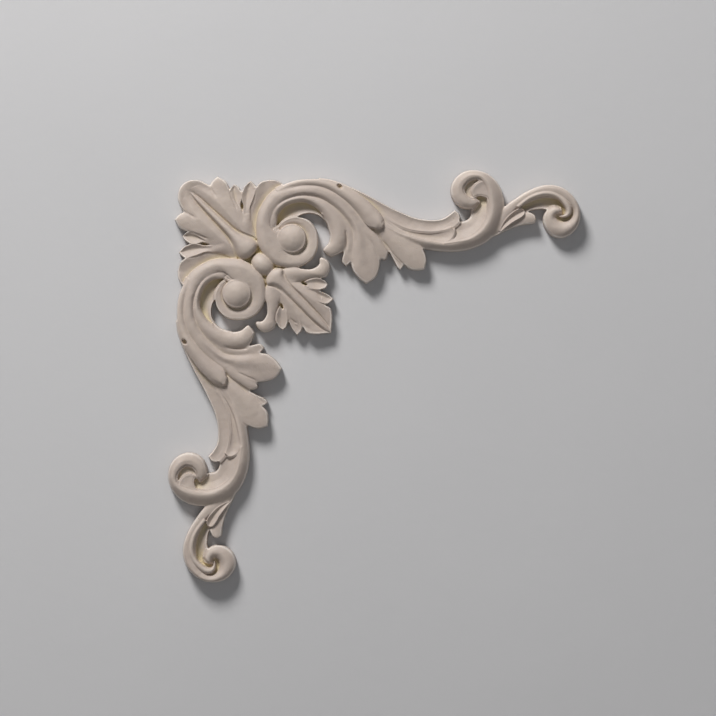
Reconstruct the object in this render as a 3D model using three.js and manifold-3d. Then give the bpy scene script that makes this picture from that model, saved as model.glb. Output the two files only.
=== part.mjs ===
// Corner onlay: a carved-style acanthus and scroll ornament, cast in one piece of rigid polyurethane.
// Millimetres, +Z up. The flat back lies in the plane y = 0 and faces +Y; the relief rises towards -Y.
// The origin is on the back, under the bead where the two arms meet. One arm runs along +X, the other along -Z,
// and they are mirror images across the diagonal between them.
import * as THREE from "three";
import { mergeVertices } from "three/addons/utils/BufferGeometryUtils.js";
import Module from "manifold-3d";

const wasm = await Module();
wasm.setup();

// ---- driving dimensions -------------------------------------------------------------------------
const SIZE = 1; // size of the whole outline; 1 gives arms of about 207 mm
const RELIEF = 1; // height of the relief; 1 gives about 10 mm over the ball of the volute
const COARSE = 1; // 1 = steps as listed with each strand, larger = fewer facets
const BELOW = 2; // how far each strand is carried below the back before the back is cut flat
const PIT_TOP = 20; // blind holes are cut from this height down
const NAIL_TAPER = 0.75; // width of a blind hole at its floor over its width at the face
const TIP = 1.45; // how much the steps shorten towards the tip of a strand; 1 = even steps
const VOLUTE = [14.35, -13.1]; // centre of the volute, right and down from the bead

const COLOUR = 0xc9bba9; // unpainted cream polyurethane
const ROUGHNESS = 0.62;

// ---- curves ------------------------------------------------------------------------------------
// Outline points are [right, down] from the bead, as seen from the front.
const curve = (points) =>
  new THREE.CatmullRomCurve3(
    points.map(([u, v]) => new THREE.Vector3(u, v, 0)),
    false,
    "catmullrom",
    0.5,
  );

// a list of values taken at even steps along a strand, read at t = 0 .. 1
function along(values, t) {
  if (!Array.isArray(values)) return values;
  if (values.length === 1) return values[0];
  return curve(values.map((v, i) => [i, v])).getPoint(t).y;
}

// height across a strand: left edge, crest or trough at mid, right edge, joined by rounded flanks
function across(left, crest, right, mid, power, s) {
  const flank = (edge, q) => edge + (crest - edge) * (1 - (1 - q) ** power);
  return s <= mid ? flank(left, s / mid) : flank(right, (1 - s) / (1 - mid));
}

// ---- solids ------------------------------------------------------------------------------------
// rows[i][j] = [right, down, height]: the face of a strand. The solid runs from it to below the back.
function solidUnder(rows) {
  const position = [];
  const index = [];
  const n = rows.length;
  const m = rows[0].length;
  let area = 0;
  const add = (p, low) =>
    position.push(SIZE * p[0], low ? BELOW : -RELIEF * p[2], -SIZE * p[1]) / 3 - 1;
  const top = rows.map((row) => row.map((p) => add(p, false)));
  const low = rows.map((row) => row.map((p) => add(p, true)));
  const rim = [];
  for (let j = 0; j < m - 1; j++) rim.push([0, j]);
  for (let i = 0; i < n - 1; i++) rim.push([i, m - 1]);
  for (let j = m - 1; j > 0; j--) rim.push([n - 1, j]);
  for (let i = n - 1; i > 0; i--) rim.push([i, 0]);
  rim.forEach(([i, j], k) => {
    const [i2, j2] = rim[(k + 1) % rim.length];
    area += rows[i][j][0] * rows[i2][j2][1] - rows[i2][j2][0] * rows[i][j][1];
  });
  const tri = (a, b, c) => (area < 0 ? index.push(a, b, c) : index.push(a, c, b));
  const quad = (a, b, c, d) => {
    tri(a, b, c);
    tri(a, c, d);
  };
  for (let i = 0; i < n - 1; i++)
    for (let j = 0; j < m - 1; j++) {
      quad(top[i][j], top[i][j + 1], top[i + 1][j + 1], top[i + 1][j]);
      quad(low[i][j], low[i + 1][j], low[i + 1][j + 1], low[i][j + 1]);
    }
  rim.forEach(([i, j], k) => {
    const [i2, j2] = rim[(k + 1) % rim.length];
    quad(top[i][j], low[i][j], low[i2][j2], top[i2][j2]);
  });
  return closed(position, index);
}

function closed(position, index) {
  const g = new THREE.BufferGeometry();
  g.setAttribute("position", new THREE.Float32BufferAttribute(position, 3));
  g.setIndex(index);
  return toSolid(g);
}

function toSolid(geometry) {
  const g = geometry.clone();
  g.deleteAttribute("normal");
  g.deleteAttribute("uv");
  const merged = mergeVertices(g, 1e-3);
  const kept = [];
  for (let i = 0; i < merged.index.count; i += 3) {
    const [a, b, c] = [0, 1, 2].map((k) => merged.index.getX(i + k));
    if (a !== b && b !== c && c !== a) kept.push(a, b, c);
  }
  return new wasm.Manifold(
    new wasm.Mesh({
      numProp: 3,
      vertProperties: merged.attributes.position.array,
      triVerts: new Uint32Array(kept),
    }),
  );
}

const mirror = (p) => [p[1], p[0], p[2]]; // across the diagonal between the arms

// a strand between two edge curves; edges with equally many points are joined point by point
function strandRows(left, right, zl, zc, zr, { mid = 0.5, power = 2, steps, tip = TIP, over = [0, 0] }) {
  const [nt, ns] = [Math.max(2, Math.round(steps[0] / COARSE)), steps[1]];
  const [a, b] = [curve(left), curve(right)];
  a.arcLengthDivisions = b.arcLengthDivisions = 600;
  const paired = left.length === right.length;
  const rows = [];
  for (let i = 0; i <= nt; i++) {
    const t = paired ? i / nt : 1 - (1 - i / nt) ** tip; // shorter steps towards a rounded tip
    const [p, q] = paired ? [a.getPoint(t), b.getPoint(t)] : [a.getPointAt(t), b.getPointAt(t)];
    const [hl, hc, hr, m] = [zl, zc, zr, mid].map((v) => along(v, t));
    const row = [];
    const width = p.distanceTo(q);
    // past its edges the strand runs on level, so that it crosses its neighbour there
    const [e0, e1] = over.map((d) => (width < 1e-3 ? 0 : (d / width) * Math.min(1, 8 * t, 8 * (1 - t))));
    for (let j = 0; j <= ns; j++) {
      const s = -e0 + (1 + e0 + e1) * (j / ns);
      const h = across(hl, hc, hr, m, power, Math.min(1, Math.max(0, s)));
      row.push([p.x + (q.x - p.x) * s, p.y + (q.y - p.y) * s, width < 1e-3 ? hc : h]);
    }
    rows.push(row);
  }
  return rows;
}

const strand = (...args) => ({ rows: strandRows(...args), pair: true });

// a strand on the diagonal: [distance from the bead, half width] along its middle line
function diagonal(stations, zl, zc, zr, options) {
  const d = Math.SQRT1_2;
  const left = stations.map(([s, w]) => [s * d + w * d, s * d - w * d]);
  const right = stations.map(([s, w]) => [s * d - w * d, s * d + w * d]);
  return [{ rows: strandRows(left, right, zl, zc, zr, options), pair: false }];
}

// a strand that turns round a centre: [degrees, outer radius, inner radius]
function turn([u, v], stations, zl, zc, zr, options) {
  const ring = (k) =>
    stations.map((st) => {
      const a = THREE.MathUtils.degToRad(st[0]);
      return [u + st[k] * Math.cos(a), v - st[k] * Math.sin(a)];
    });
  return strand(ring(1), ring(2), zl, zc, zr, options);
}

// a rounded cap: centre, radii, turn, height at the edge and in the middle
function dome([u, v], ru, rv, angle, edge, middle, { power, root, steps }) {
  const [around, rings] = steps;
  const profile = [];
  for (let i = 0; i <= rings; i++) {
    const q = Math.sin((i / rings) * (Math.PI / 2));
    profile.push(new THREE.Vector2(q, edge + (middle - edge) * Math.max(0, 1 - q ** power) ** root));
  }
  profile.push(new THREE.Vector2(1, -BELOW), new THREE.Vector2(0, -BELOW));
  const g = new THREE.LatheGeometry(profile.reverse(), around); // axis = +Y = height
  g.scale(ru, 1, rv);
  g.rotateY(angle);
  return { geometry: placed(g, u, v), pair: Math.abs(u - v) > 0.5 };
}

// turns a shape built with its height along +Y into the part's frame
function placed(g, u, v) {
  g.scale(SIZE, RELIEF, SIZE);
  g.rotateX(Math.PI); // height along -Y, front seen from -Y
  g.translate(SIZE * u, 0, -SIZE * v);
  return g;
}

// a blind tapered hole
function pit([u, v], ru, rv, angle, floor) {
  const g = new THREE.CylinderGeometry(1, NAIL_TAPER, PIT_TOP - floor, 10, 1);
  g.translate(0, (PIT_TOP + floor) / 2, 0);
  g.scale(ru, 1, rv);
  g.rotateY(angle);
  return { geometry: placed(g, u, v), pair: true };
}

// ---- the strands -------------------------------------------------------------------------------
// Each: left edge, right edge, then heights above the back along the left edge, the crest and the right edge.
const STRANDS = [
  // ground between the parts of the corner
  strand(
    [[-12.2, -12.2], [-0.2, -14.2], [10.8, -6.2], [14.2, 1.8]],
    [[-12.2, -12.2], [-13.2, -2.2], [-5.2, 8.8], [1.8, 14.2]],
    [3.2], [3.2], [3.2], { steps: [4, 2] }),
  // corner leaf: ground between its lobes
  strand(
    [[-6.2, -12.2], [-11.2, -21.2], [-15.8, -28.2], [-19.8, -33.2], [-22.2, -36.8]],
    [[-0.2, -13.2], [-0.2, -24.2], [-1.8, -30.2], [-2.8, -34.2], [-4, -37]],
    [4.4, 4.4, 4.3, 4.1, 4], [4.4, 4.4, 4.3, 4.1, 4], [3.2, 3.2, 3.4, 3.7, 4], { steps: [4, 2] }),
  // corner leaf: round lobe behind the volute
  strand(
    [[-6.2, -14.2], [-6.5, -24.2], [-5.5, -31.2], [-3.8, -37.2], [-1.3, -41.2], [3.5, -42.8]],
    [[0.8, -13.2], [1.8, -25.2], [7.2, -33.2], [10.5, -39.2], [7.5, -42.2], [3.5, -42.7]],
    [4.4, 5.2, 5.6, 6, 6, 5.4], [3.4, 3.8, 4.2, 4.4, 4.7, 5], [2.6, 3, 3.6, 4.6, 5.4, 5.3], { power: 1.5, steps: [8, 3] }),
  // corner leaf: tip lobe
  ...diagonal(
    [[-20.2, 9], [-30.8, 9.5], [-39.6, 9.5], [-45.6, 8.8], [-49.9, 8.3], [-53, 6.9], [-55.5, 4.2], [-56.8, 1.2]],
    [3.8, 4.4, 4.9, 5.4, 5.8, 5.9, 5.7, 5], [4, 4, 4.1, 4.2, 4.6, 5.2, 5.3, 4.9], [3.8, 4.4, 4.9, 5.4, 5.8, 5.9, 5.7, 5], { power: 1.4, steps: [9, 4] }),
  // corner leaf: body beside the midrib
  strand(
    [[-9.2, -9.2], [-18.2, -18.2], [-27.2, -27.2], [-37.8, -37.8]],
    [[-2.2, -13.2], [-6.2, -21.8], [-11.2, -28.2], [-17.2, -35.8], [-28.8, -40.8]],
    [4, 3.8, 3.8, 4.2], [6.2, 7.1, 6.9, 5.3], [4.4, 5.3, 5.1, 4.4], { mid: 0.48, power: 1.4, steps: [6, 3] }),
  // corner leaf: second lobe
  strand(
    [[-17.2, -19.2], [-23.5, -28.2], [-26.5, -35.2], [-25.8, -41], [-22.6, -44.3]],
    [[-10.2, -19.2], [-13, -27.2], [-15.8, -34.8], [-18, -41.1], [-22.6, -44.3]],
    [4.4, 4.9, 4.9, 4.8, 4.6], [5.2, 6.2, 6.3, 6.1, 5], [4.6, 5.6, 5.6, 5.2, 4.6], { steps: [8, 3] }),
  // corner leaf: small scooped finger
  strand(
    [[-13, -25.2], [-14.3, -30.2], [-16.3, -35.8], [-16, -38.5], [-14, -40.3]],
    [[-10.3, -25.8], [-10.8, -30.2], [-10.2, -35], [-11.8, -38.5], [-14, -40.3]],
    [5.9, 6, 5.9, 5.6, 5.1], [5.6, 4.6, 3.9, 3.9, 4.6], [5.6, 5.6, 5.7, 5.5, 4.9], { mid: 0.38, power: 1.25, steps: [7, 3] }),
  // corner leaf: scooped finger
  strand(
    [[-10, -22.2], [-9.7, -27.8], [-10.5, -33.8], [-9.5, -38.8], [-6, -42.2]],
    [[-5.8, -22.2], [-6.2, -28.2], [-4.2, -34.2], [-3.2, -38.8], [-6, -42.2]],
    [5.6, 5.8, 5.8, 5.7, 5.1], [5.9, 5.1, 4.1, 4, 4.6], [5, 6, 6.1, 5.7, 5.1], { mid: 0.42, power: 1.3, steps: [7, 3] }),
  // corner leaf: fold that runs down from the fingers
  strand(
    [[-12.2, -14.2], [-11.2, -19.2], [-10, -24.8]],
    [[-4.2, -14.2], [-5, -20.2], [-5.7, -25.8]],
    [4.5, 5.2, 4.6], [5.4, 6.5, 5.4], [3.4, 4.4, 4.4], { mid: 0.45, steps: [4, 3] }),
  // corner leaf: midrib and its shield-shaped foot
  ...diagonal(
    [[-51.6, 0.15], [-48.4, 0.8], [-44.9, 1.4], [-37.1, 1.85], [-29.3, 2.25], [-22.6, 2.7], [-19.1, 3.6], [-15.6, 5], [-12.7, 6.2], [-10.3, 6.4], [-8.7, 5.6], [-7.5, 3.8], [-6.9, 1]],
    [4.4, 4.3, 4.2, 4.2, 4.2, 4.2, 4.2, 4.2, 4.4, 4.6, 4.6, 4.6, 4.6], [4.7, 5.4, 5.9, 6.7, 7.4, 8, 8.5, 9, 9.3, 9.1, 8.4, 7.4, 6.4], [4.4, 4.3, 4.2, 4.2, 4.2, 4.2, 4.2, 4.2, 4.4, 4.6, 4.6, 4.6, 4.6], { power: 2.4, steps: [10, 4] }),
  // bead in the centre
  dome([-0.2, 0.2], 6.6, 4.9, 0.79, 4, 9.2, { power: 2, root: 0.55, steps: [14, 3] }),
  // inner leaf: tip lobe
  ...diagonal(
    [[5.3, 5], [10.3, 6], [18.7, 6], [25.8, 5.9], [30.8, 6.8], [34.6, 8], [39.1, 8.6], [42.1, 7.1], [44.5, 4.7], [46.3, 2.5], [48.3, 0.25]],
    [5, 5, 5, 5, 5.2, 5.8, 6.3, 6.2, 5.8, 5.4, 4.9], [5, 5, 5, 4.8, 4.5, 4.4, 4.3, 4.3, 4.4, 4.6, 4.7], [5, 5, 5, 5, 5.2, 5.8, 6.3, 6.2, 5.8, 5.4, 4.9], { power: 1.4, steps: [10, 4] }),
  // inner leaf: ground between its fingers
  strand(
    [[14.8, 7.2], [21.8, 8.2], [28.8, 10]],
    [[17.8, 15.8], [22.8, 17.2], [28.8, 18.8]],
    [3.8, 3.8, 3.6], [3.8, 3.8, 3.6], [3.8, 3.8, 3.6], { steps: [3, 2] }),
  // inner leaf: body beside the rib
  strand(
    [[4.8, 3.2], [11.8, 4.8], [17.8, 7.2], [23.8, 11], [28.8, 16.5], [33.2, 23.2]],
    [[6.8, 7.8], [12.2, 12.8], [18.2, 18.8], [24.2, 24.8], [29.2, 29.2], [33.2, 33.2]],
    [4.8, 4.8, 5, 5.2, 5.6, 5.2], [6.5, 7.2, 7.2, 6.9, 6.4, 5.4], [5.4, 5, 4.6, 4.3, 4.2, 4.3], { mid: [0.5, 0.5, 0.48, 0.42, 0.32, 0.3], power: 1.4, steps: [5, 3] }),
  // inner leaf: hooked lobe
  strand(
    [[3.8, 5.8], [8.8, 2.6], [14.8, 0.8], [20.2, 1.8], [24.8, 1.9], [28.1, -0.1], [28.3, -2.9], [29.6, -3.8]],
    [[6.8, 13.8], [13.8, 9.8], [20.2, 8.2], [26.8, 6.8], [31.8, 6.2], [33.9, 1.5], [32.7, -2], [29.6, -3.8]],
    [6, 6.2, 6.2, 6, 5.9, 5.8, 5.6, 5.4], [6.8, 7.2, 7.5, 7.3, 7.1, 6.9, 6.6, 6], [5.6, 5.8, 5.8, 5.7, 5.6, 5.6, 5.5, 5.3], { mid: 0.45, steps: [9, 4] }),
  // inner leaf: upper finger
  strand(
    [[20.2, 8.8], [23.2, 7.3], [27, 6.6], [31.1, 7.7], [32.8, 10.1]],
    [[20.8, 10.9], [24, 12.2], [27.6, 12.7], [30.9, 12.2], [32.8, 10.1]],
    [6.6, 6.8, 6.6, 6.2, 5.6], [6.3, 5.8, 5.1, 4.9, 5.2], [6, 6.4, 6.5, 6.3, 5.6], { mid: 0.4, power: 1.4, steps: [7, 3] }),
  // inner leaf: pointed finger
  strand(
    [[20.2, 11.3], [24.2, 12.1], [28.6, 12.9], [32.4, 14.7], [35.7, 17.2]],
    [[21.2, 13.6], [24.1, 15.8], [27.7, 18.3], [32.2, 19.8], [35.7, 17.2]],
    [6.4, 6.3, 6.2, 6, 5.4], [6.2, 5.8, 4.9, 4.9, 5.1], [6.4, 6.7, 6.6, 6.2, 5.4], { mid: 0.4, power: 1.4, steps: [7, 3] }),
  // inner leaf: rib with its cap
  ...diagonal(
    [[4.9, 1.25], [6.2, 3.5], [7.8, 5], [9.2, 5.3], [11, 4.1], [13.4, 3.1], [17, 2.6], [25.8, 2.45], [36.4, 2.2], [42.8, 1.6], [45.6, 1], [47.4, 0.25]],
    [5.6, 6.2, 6.8, 6.9, 6.2, 5.4, 5.1, 5, 5, 5, 4.9, 4.8], [6.4, 7.6, 8.3, 8.5, 8.4, 8.2, 7.8, 7.2, 6.6, 6.1, 5.6, 5.1], [5.6, 6.2, 6.8, 6.9, 6.2, 5.4, 5.1, 5, 5, 5, 4.9, 4.8], { power: 2.8, steps: [9, 4] }),
  // volute: band that runs round and ends under the ball
  turn(VOLUTE, [[62, 33, 25], [75, 30.8, 22.5], [90, 28.6, 20.6], [113, 25.3, 17.3], [135, 21.9, 14.2], [150, 19.8, 11.8], [163, 18.3, 7.8], [182, 17.3, 6.3], [196, 16.8, 6.2], [215, 16, 6.2], [235, 15.8, 6.2], [253, 15.2, 6.2], [272, 14.8, 6.2], [293, 14.9, 6.2], [315, 14.7, 6.2], [335, 14.2, 6.2], [357, 13.5, 6.2], [378, 13.4, 6.2], [399, 12.9, 6.2], [417, 12.2, 6.2], [434, 11.2, 6.2], [453, 10.2, 6.2], [476, 9.2, 6.2], [500, 8.5, 6.2]],
    [5.4, 6.2, 6.6, 6.4, 6.2, 6.2, 6.4, 6.6, 6.8, 6.8, 6.8, 6.8, 6.8], [6.4, 7.8, 8.4, 8.5, 8.5, 8.3, 7.8, 7.2, 6.8, 6.5, 6.3, 6.2, 6.2], [6.4, 7, 7.4, 7.6, 8, 7.8, 6.6, 5, 4.5, 4.4, 4.4, 4.4, 4.6], { mid: [0.5, 0.5, 0.5, 0.45, 0.4, 0.35, 0.3, 0.28, 0.3, 0.34, 0.36, 0.38, 0.4], power: 1.9, steps: [24, 4] }),
  // volute: ball
  dome([14.7, -12.8], 7.25, 7.25, 0, 7.4, 10.2, { power: 2, root: 1, steps: [18, 4] }),
  // volute: tail of the ball
  strand(
    [[6.1, -18.8], [5.2, -16.2], [5.4, -12.8], [7.2, -8.8]],
    [[7.8, -18.8], [9.1, -17], [11.1, -15.3], [15.2, -12.8]],
    [6.4, 6.6, 6.4, 5.8], [6.8, 7, 7, 6.4], [6.4, 6.8, 7.2, 7.6], { mid: 0.45, steps: [4, 3], over: [0.3, 0.3] }),
  // hollow inside the curl
  strand(
    [[5.8, -16.2], [6.5, -25.2], [11.8, -30.2], [20.2, -31.5], [27.2, -28.2], [31.8, -22.5], [33.7, -15.8]],
    [[11.8, -13.2], [13.2, -21.2], [16.8, -23.5], [20.2, -25.2], [24.2, -25.7], [28.2, -24.3], [31.6, -21.2], [33.4, -15.8]],
    [2.6, 2.6, 2.8, 3, 3.8, 6], [3, 3, 3, 3.4, 4.4, 6], [4, 4.4, 4.6, 4.8, 5.4, 6], { mid: 0.4, power: 1.6, steps: [10, 3] }),
  // arm leaf: ground under its strands
  strand(
    [[10.2, -37.5], [18.8, -40.8], [28.8, -41], [37.8, -38.5], [46.2, -33.5], [52.8, -28.2], [56.2, -23.8]],
    [[6.8, -24.2], [10.8, -30], [19.2, -32.5], [28.2, -30], [34.8, -24.2], [37.8, -17.8], [37.2, -11.8]],
    [5.2], [5.4], [5.2], { steps: [6, 2] }),
  // arm leaf: side lobe, inner
  strand(
    [[35.8, -30.8], [41.2, -25], [44.6, -18.8], [45.4, -12.2], [44.4, -5.8], [43.8, -1], [41.6, 0.9]],
    [[29.8, -25.2], [35.8, -21.2], [40.5, -16.2], [41.4, -11.8], [40.3, -6.2], [39.7, -1.5], [41.6, 0.9]],
    [6.8, 6.7, 6.4, 6.2, 5.9, 5.5, 5], [7.2, 7.2, 7, 6.6, 6.2, 5.4, 5], [6.6, 6.6, 6.3, 5.9, 5.8, 5.7, 5], { steps: [7, 2], over: [0.4, 0.3] }),
  // arm leaf: inner lobe that curls round the opening
  strand(
    [[2.6, -16.2], [3.2, -20.2], [5, -27], [10.8, -32], [19.8, -34.6], [29.8, -32.6], [37.2, -27.2], [41.8, -19.8], [42.4, -12.2], [40.5, -6.8], [34.2, -3.8]],
    [[6.1, -17], [6.7, -20], [7.6, -25.6], [12.2, -30.2], [20.2, -31.8], [27.4, -28.4], [31.8, -22.5], [33.5, -16.2], [33.1, -11.2], [30.2, -7.2], [34.2, -3.8]],
    [5.8, 6.8, 7, 7.1, 7.2, 7.2, 7, 6.6, 6.2, 5.8, 5.4], [5.8, 7.3, 7.7, 8, 8.2, 8.3, 8.4, 8.4, 8.2, 7.4, 6], [5.6, 6.8, 6.9, 6.8, 6.7, 6.6, 6.4, 6.2, 6, 5.8, 5.4], { power: 2.2, steps: [13, 4], over: [0.4, 0] }),
  // arm leaf: large lobe
  strand(
    [[-0.2, -28.2], [4.8, -34.2], [10.8, -37.2], [18.8, -39], [26.8, -39.2], [34.2, -37], [41.8, -32], [47.8, -25.8], [52.8, -19.8], [57, -13.8], [58.5, -7.2], [58.9, -0.2], [56.8, 6.2], [52, 9.8]],
    [[4.8, -24.8], [7.2, -28.8], [12.2, -32.5], [19.8, -34.5], [27.8, -33.6], [34.8, -29.6], [40.2, -24.2], [44.2, -18.2], [44.8, -12.2], [43.8, -4.8], [44.8, 2.2], [48, 6.8], [52, 9.8]],
    [6.8, 7.5, 8, 8, 7.9, 7.7, 7.4, 7, 6.5, 6.1, 5.8, 5.4, 5.2], [7.6, 8.3, 8.7, 8.9, 8.9, 8.8, 8.5, 8.1, 7.7, 7.2, 6.7, 6.2, 5.6], [6.8, 7.3, 7.4, 7.4, 7.3, 7.1, 6.8, 6.3, 6, 5.8, 5.6, 5.4, 5.2], { power: 2.3, steps: [14, 4], over: [0.4, 0.4] }),
  // arm leaf: side lobe, outer
  strand(
    [[47.8, -23.2], [55.8, -17], [60.2, -10.8], [62.8, -6.2], [62.1, -2.8], [60.8, -2.2]],
    [[47.8, -16.2], [54.2, -10.8], [56.8, -6], [58.2, -3.2], [60.8, -2.2]],
    [5.8, 6.2, 6.2, 5.8, 5.4], [6.8, 7.3, 7.1, 6.6, 5.6], [6, 6, 5.8, 5.6, 5.2], { steps: [7, 3] }),
  // arm leaf: long outer tongue
  strand(
    [[6.8, -38], [13.8, -41], [21.2, -42.8], [29.8, -42.8], [37.8, -40.2], [44.8, -36.2], [51.4, -31.5], [56.8, -26.3], [59.3, -22.8], [59.8, -20.5]],
    [[8.8, -35.2], [18.2, -39], [26.2, -39.3], [33.8, -37], [41.2, -32], [46.8, -26.8], [50.6, -22.2], [53.1, -19.5], [56.2, -18.5], [59.4, -18.8]],
    [6.6, 7.2, 7.6, 7.8, 7.9, 8, 8, 7.9, 7.8, 7.8], [7.8, 8.4, 8.8, 9, 9.2, 9.3, 9.4, 9.4, 9.2, 8.7], [7.4, 7.9, 8, 7.9, 7.8, 7.7, 7.8, 8.2, 8.6, 8.6], { mid: 0.45, steps: [13, 4], over: [0, 0.5] }),
  // stem: outer hollow strand
  strand(
    [[27.8, -43.7], [33.8, -42.8], [41.2, -40.2], [51.2, -35.7], [61.2, -30.2], [68.8, -26.6], [76.2, -23.6], [83.8, -22.3], [89.8, -23], [93.4, -25.2], [96.2, -27.5]],
    [[31.8, -39.2], [37.8, -36.2], [46.2, -31.2], [54.8, -26.8], [61.8, -22.5], [67.8, -19.5], [74.8, -17.2], [83.8, -16.2], [91.2, -17.2], [95.8, -18.8], [98.7, -21.8], [98.7, -25.2], [96.2, -27.5]],
    [7.6, 7.6, 7, 6.4, 6.1, 6, 6, 6, 6, 6], [7.8, 7.4, 6.4, 5.5, 5.2, 5.1, 5.1, 5.1, 5.3, 5.8], [7.6, 7.2, 6.4, 6, 6, 6.2, 6.4, 6.5, 6.5, 6.3], { mid: 0.42, steps: [13, 3], over: [0, 0.3] }),
  // stem: middle hollow strand
  strand(
    [[57.8, -27.2], [67.8, -20.2], [74.8, -17.5], [83.8, -16.5], [90.2, -17.2], [94.2, -18.6]],
    [[55.8, -22.2], [66.2, -16.5], [72.8, -14], [81.2, -11.7], [88.8, -11], [93.8, -12.5], [95.8, -16], [94.2, -18.6]],
    [5, 5.6, 6, 6.2, 6.3, 6.8], [5.3, 5.7, 5.7, 5.6, 5.6, 5.9, 7], [5.6, 6.5, 7, 7.1, 7.2, 7.3, 7.2], { mid: 0.42, steps: [9, 3], over: [0.4, 0.3] }),
  // stem leaf: large lobe
  strand(
    [[50.8, -26.2], [60.8, -21.8], [66.8, -17.5], [73.5, -13.3], [78, -10.7], [80.9, -7], [82.2, -2.2], [81.1, 2.5]],
    [[53.8, -15.2], [61.2, -10.8], [65.2, -5.8], [69.5, -1.2], [73.5, 2.2], [77.5, 2.9], [81.1, 2.5]],
    [4.6, 5.6, 6.2, 6.4, 6.4, 6.2, 5.8, 5.2], [5.4, 6.3, 6.8, 6.9, 6.8, 6.6, 6.1, 5.4], [5, 5.3, 5.6, 5.6, 5.5, 5.4, 5.2, 5.2], { power: 1.7, steps: [9, 4] }),
  // stem leaf: side lobe
  strand(
    [[59.8, -16.2], [65.2, -7], [68.2, -3], [70.6, 0.2], [69, 2.8]],
    [[56.8, -14.2], [62.5, -7.2], [65.4, -2.2], [67.2, 1.2], [69, 2.8]],
    [5.4, 5.4, 5.2, 5], [5.2, 4.8, 4.7, 4.8], [5.2, 5.2, 5.2, 5], { steps: [6, 2] }),
  // stem rim that turns up into the first scroll
  strand(
    [[58.8, -25.2], [68.8, -17.8], [76.2, -14.2], [83.8, -12.2], [91.2, -11.2], [97.2, -12], [102.8, -13.3], [107.8, -16.5], [111.2, -21.2], [113.1, -26.2], [113.1, -32.2], [112.2, -36.8], [110.8, -40.5], [108.2, -42.8], [104.8, -43.2], [101.4, -41.5], [99.6, -38.3], [100.1, -35.2], [101.8, -33.2], [103.9, -32.5], [106.2, -32.5], [107.9, -31.2]],
    [[63.8, -11.2], [73.8, -9.2], [80.8, -7.8], [88.8, -6.7], [96.2, -6.5], [103.8, -7.6], [110.8, -10.5], [115.8, -14.5], [119.2, -20.2], [120.9, -26.8], [120.8, -33.8], [118.5, -40], [114, -44.8], [108.2, -47.2], [102.2, -47.1], [97.2, -44.2], [94.4, -39.5], [94.4, -34.2], [97.2, -30.1], [101, -28], [105, -28], [107.9, -31.2]],
    [5.2, 6.6, 7.3, 7.6, 7.7, 7.7, 7.8, 7.9, 8.1, 8.3, 8.3, 8.2, 8.1, 7.9, 7.4, 6.6], [6, 7, 7.6, 8, 8.2, 8.4, 8.6, 8.7, 8.8, 8.8, 8.7, 8.6, 8.5, 8.3, 7.7, 6.6], [4.6, 4.8, 4.8, 4.8, 4.8, 4.8, 4.8, 4.8, 4.9, 5.3, 5.8, 6.2, 6.4, 6.4, 6.2, 6], { mid: [0.42, 0.36, 0.3, 0.26, 0.24, 0.23, 0.23, 0.24, 0.27, 0.32, 0.34, 0.36, 0.38, 0.42, 0.46, 0.5], power: 1.55, steps: [29, 4] }),
  // first scroll: knob
  strand(
    [[115.8, -31.2], [114, -39], [110.8, -41.5], [107.2, -40.3], [105.2, -37.8], [105.2, -35.7], [106.2, -34.2]],
    [[113.8, -27.2], [113, -33], [110.2, -34.8], [107.8, -34.8], [106.2, -34.2]],
    [7.4, 7.9, 7.7, 7.4, 7.2, 7], [7.6, 8.4, 8.2, 7.8, 7.4, 7.1], [7.6, 8.1, 7.9, 7.4, 7.1, 6.8], { power: 1.8, steps: [7, 3] }),
  // first scroll: channel
  strand(
    [[87.8, -16.2], [92.2, -19.2], [96.1, -21.5], [99.7, -21.7], [102.3, -22.5], [103.9, -24.2], [104.4, -27.8], [105.8, -31.8], [107.8, -34.2]],
    [[91.2, -10.7], [97.4, -11.5], [103.1, -12.7], [108.4, -15.8], [112.2, -20.8], [113.9, -26.2], [113.6, -30.8], [112.2, -33.8], [110.8, -35.8]],
    [5, 5.1, 5.1, 4.8, 4.5, 4.2, 4, 4.2, 4.6], [5, 5.4, 5.6, 5.5, 5.2, 4.7, 4.3, 4.3, 4.6], [7.9, 8, 8.1, 8.1, 8, 7.7, 6.8, 6, 5.4], { mid: 0.45, power: 1.3, steps: [9, 3], over: [0, 0.6] }),
  // first scroll: floor of the eye
  strand(
    [[103.8, -44.2], [99.2, -42.2], [98.2, -36.2], [102.2, -31.2]],
    [[112.8, -43.2], [110.8, -39.2], [110.8, -34.2], [112.8, -29.2]],
    [5.6], [5.7], [5.6], { steps: [4, 1] }),
  // first scroll: slope into the eye
  strand(
    [[103.8, -40.8], [102.1, -38.2], [102.3, -35.2], [103.8, -33.2]],
    [[108.2, -42.2], [105.8, -39.2], [105.2, -36.2], [106.8, -33.8]],
    [5.6, 5.6, 5.6, 5.8], [5.8, 5.8, 5.9, 6.2], [6, 6, 6.3, 6.8], { power: 1.2, steps: [4, 2] }),
  // second scroll: band
  strand(
    [[111.8, -14.2], [115.8, -22.2], [120.8, -28.8], [126.2, -32.9], [132.2, -36.8], [138.8, -39.5], [144.8, -40.1], [150.8, -38.5], [155.8, -34.3], [158.8, -29], [159.2, -23.2], [157.2, -18], [153.2, -14.3], [148.8, -13.2], [144.2, -15], [141.1, -19], [140.4, -23.8], [142.2, -27.3], [145.8, -29.2], [148.4, -28.7]],
    [[112.9, -13], [118.8, -16.5], [122.8, -22.8], [127.2, -28.2], [132.2, -31.5], [137.8, -33.8], [143.2, -34.2], [148.8, -33], [152.8, -30.2], [155.1, -27], [154.4, -24], [152.2, -22.2], [149.9, -21.8], [148.2, -22.3], [147.4, -23.2], [146.9, -24], [147.1, -24.8], [147.6, -25.2], [148.2, -25.3], [149.4, -25.5]],
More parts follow.
